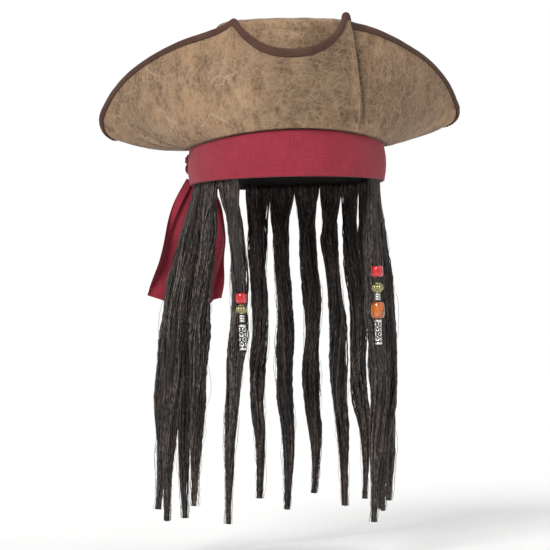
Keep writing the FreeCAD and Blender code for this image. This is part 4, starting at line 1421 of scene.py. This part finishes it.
def spacer_bead(radius, length):
    """A run of three small beaded rings."""
    outline = [(BEAD_BORE, -length / 2)]
    relief = [0.2]
    for ring in range(3):
        middle = length * (ring - 1) / 3
        for step in range(9):
            turn = math.radians(-90 + 22.5 * step)
            outline.append((radius * (0.68 + 0.32 * math.cos(turn)), middle + length / 6 * math.sin(turn)))
            relief.append(math.cos(turn))
    outline.append((BEAD_BORE, length / 2))
    relief.append(0.2)
    sides = 72
    points = turned_grid(outline, sides)
    beads = np.abs(np.sin(4.5 * ring_turns(sides))) ** 0.5
    body = np.array(relief)[:, None]
    points[..., :2] *= (1 - 0.12 * (1 - beads)[None, :] * body)[..., None]
    return points, 0.15 + 0.85 * body * beads[None, :]


def charm_core(radius, length, sides):
    """The dark sleeve under the charm's scrollwork, with a rolled collar at each end."""
    half = length / 2
    rolls = [math.radians(-90 + 22.5 * step) for step in range(9)]
    roll_relief = [0.3 + 0.7 * math.cos(turn) for turn in rolls]
    outline = [(0.0002, -half), (radius * 0.5, -half)]
    relief = [0.6, 0.8]
    for turn in rolls:
        height = -half + length * 0.055 * (1 + math.sin(turn))
        outline.append((radius * (0.72 + 0.26 * math.cos(turn)), height))
    relief += roll_relief
    for share in np.linspace(-0.76, 0.76, 15):
        outline.append((radius * 0.68, half * share))
        relief.append(0.0)
    for turn in rolls:
        height = half - length * 0.055 * (1 - math.sin(turn))
        outline.append((radius * (0.72 + 0.26 * math.cos(turn)), height))
    relief += roll_relief
    outline += [(radius * 0.5, half), (BEAD_BORE * 0.8, half), (BEAD_BORE * 0.7, half - 0.002)]
    relief += [0.8, 0.5, 0.0]
    return turned_grid(outline, sides), np.repeat(np.array(relief)[:, None], sides, axis=1)


def scroll_wires(radius, length):
    """Wire scrolls wrapped round the sleeve: spirals in staggered rows, turned left and right in turn."""
    rows = 4
    columns = 3
    pitch = length * 0.76 / rows
    share = np.linspace(0, 1, 40)
    lines = []
    for row in range(rows):
        for column in range(columns):
            hand = 1 if (row + column) % 2 else -1
            turn = 2 * math.pi * 1.35 * share * hand
            size = pitch * (0.12 + 0.5 * share)
            around = 2 * math.pi * (column + 0.5 * (row % 2)) / columns + size * np.sin(turn) / radius
            height = pitch * (row - (rows - 1) / 2) + size * np.cos(turn)
            lines.append(np.stack([radius * np.cos(around), radius * np.sin(around), height], axis=1))
    return np.array(lines)


def make_charm(name, radius, length, materials):
    """A silver scrollwork sleeve."""
    core, relief = charm_core(radius, length, 60)
    faces = capped_faces(*core.shape[:2])
    wires = scroll_wires(radius * 0.8, length)
    ahead = unit(np.gradient(wires, axis=1))
    away = wires.copy()
    away[..., 2] = 0
    away = unit(away)
    aside = unit(np.cross(ahead, away))
    taper = 0.6 + 0.4 * np.sin(math.pi * np.linspace(0, 1, wires.shape[1]))
    radii = np.tile(radius * 0.145 * taper, (len(wires), 1))
    wire_points, wire_faces = tubes(wires, np.cross(aside, ahead), aside, radii, 8)
    faces += shifted(wire_faces, core.shape[0] * core.shape[1])
    points = np.concatenate([core.reshape(-1, 3), wire_points])
    values = {"relief": np.concatenate([relief.ravel(), np.ones(len(wire_points))])}
    return finish_mesh(name, points, faces, materials["silver_metal"], values=values)


def make_bead(piece, line, body, materials):
    """One bead or charm, centred on the cord at its height and in line with it."""
    name, node, make, height, radius, length, slot = piece
    if make == "charm":
        made = make_charm(name, radius, length, materials)
    else:
        builder = {"glass": glass_bead, "ribbed": ribbed_bead, "spacer": spacer_bead}[make]
        points, relief = builder(radius, length)
        made = grid_object(name, points, materials[slot], wrap_rows=True, values={"relief": relief})
    index = int(np.argmin(np.abs(line[:, 2] - max(height, line[-1, 2]))))
    direction = Vector(line[max(index - 6, 0)] - line[min(index + 6, len(line) - 1)]).normalized()
    centre = Vector(line[index]) + direction * (height - line[index][2]) / direction.z
    turn = Vector((0, 0, 1)).rotation_difference(direction)
    made.data.transform(Matrix.Translation(centre) @ turn.to_matrix().to_4x4())
    attach(made, node, body)
    return made


# ---------------------------------------------------------------- weft
def make_weft(materials):
    """The tape inside the band that the hair is sewn to, with its rows of stitches."""
    made = tape_loop("hair_weft_tape", lambda height: WEFT_INNER + 0.0013 + 0 * height,
                     lambda angle: BAND_BOTTOM + 0 * angle, BAND_BOTTOM + 0.024, 0.0012, materials["weft"],
                     (0.59, 0.05))
    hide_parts("hair_weft")
    pieces = [made]
    for name, rise in (("weft_stitches_low", 0.004), ("weft_stitches_high", 0.02)):
        height = BAND_BOTTOM + rise
        pieces.append(stitch_ring(name, WEFT_INNER - 0.0001, height, 170, 0.0022, materials["cord"]))
    return pieces


# ---------------------------------------------------------------- camera, floor and light
def make_camera():
    """The photograph's view of the hat."""
    data = bpy.data.cameras.new("camera")
    data.lens = CAMERA_LENS
    data.sensor_width = 36
    data.clip_start = 0.05
    data.clip_end = 50
    camera = bpy.data.objects.new("camera", data)
    camera.location = CAMERA_PLACE
    direction = Vector(CAMERA_AIM) - Vector(CAMERA_PLACE)
    roll = Matrix.Rotation(math.radians(CAMERA_ROLL), 3, "Z")
    camera.rotation_euler = (direction.to_track_quat("-Z", "Y").to_matrix() @ roll).to_euler()
    bpy.context.scene.collection.objects.link(camera)
    bpy.context.scene.camera = camera


def soft_light(name, place, width, strength):
    """A far lamp, as wide as the given angle in degrees, that shines from the place towards the hat."""
    data = bpy.data.lights.new(name, "SUN")
    data.angle = math.radians(width)
    data.energy = strength
    light = bpy.data.objects.new(name, data)
    light.location = place
    light.rotation_euler = (-Vector(place)).to_track_quat("-Z", "Y").to_euler()
    bpy.context.scene.collection.objects.link(light)


def make_stage():
    """A plain pale floor in a bright even room, with large soft lights."""
    half = 6.0
    corners = np.array([(-half, -half, 0), (half, -half, 0), (half, half, 0), (-half, half, 0)])
    floor = finish_mesh("floor", corners + [0, 0, FLOOR_HEIGHT], [[0, 1, 2, 3]], floor_material())
    world = bpy.data.worlds.new("room")
    bpy.context.scene.world = world
    world.use_nodes = True
    nodes = world.node_tree.nodes
    links = world.node_tree.links
    soft = nodes["Background"]
    soft.inputs["Color"].default_value = (1, 1, 1, 1)
    soft.inputs["Strength"].default_value = ROOM_LIGHT
    bright = nodes.new("ShaderNodeBackground")
    bright.inputs["Color"].default_value = (1, 1, 1, 1)
    bright.inputs["Strength"].default_value = ROOM_SEEN
    mixer = nodes.new("ShaderNodeMixShader")
    links.new(nodes.new("ShaderNodeLightPath").outputs["Is Camera Ray"], mixer.inputs["Fac"])
    links.new(soft.outputs["Background"], mixer.inputs[1])
    links.new(bright.outputs["Background"], mixer.inputs[2])
    links.new(mixer.outputs["Shader"], nodes["World Output"].inputs["Surface"])
    for name, place, width, strength in LAMPS:
        soft_light(name, place, width, strength)
    bpy.context.scene.view_settings.view_transform = "Standard"


# ---------------------------------------------------------------- the whole hat
def settle(pieces, body):
    """The pieces ride on the body."""
    for piece in pieces:
        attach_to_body(piece, body)


def main():
    """Makes the camera, the room and every piece of the hat, each with its body."""
    make_camera()
    make_stage()
    materials = make_materials()
    for number, name in enumerate(LOCKS):
        make_lock(name, number, materials)
    make_string("left", materials)
    make_string("right", materials)
    settle([make_crown_side(materials), make_crown_top(materials)], "hat")
    settle(make_lining(materials), "hat")
    settle(make_sweatband(materials), "hat")
    outer = make_brim_side("brim_outer_leather", 0, 14, 64, ("brim_outer", "brim_stiffener"), materials)
    inner = make_brim_side("brim_inner_leather", INNER_LEATHER_DEPTH, 12, 48, ("brim_inner",), materials)
    settle([outer, inner, make_brim_seam(materials)], "hat")
    settle(make_binding(materials), "hat")
    settle([make_band(materials), make_knot(materials)], "hat")
    settle(make_weft(materials), "hat")
    make_tail("bandana_tail_front_cloth", "bandana_tail_front", "tail_front", TAIL_FRONT_LINES, 0.4,
              TAIL_FRONT_FLAT, materials)
    make_tail("bandana_tail_back_cloth", "bandana_tail_back", "tail_back", TAIL_BACK_LINES, 1.7,
              TAIL_BACK_FLAT, materials)


main()
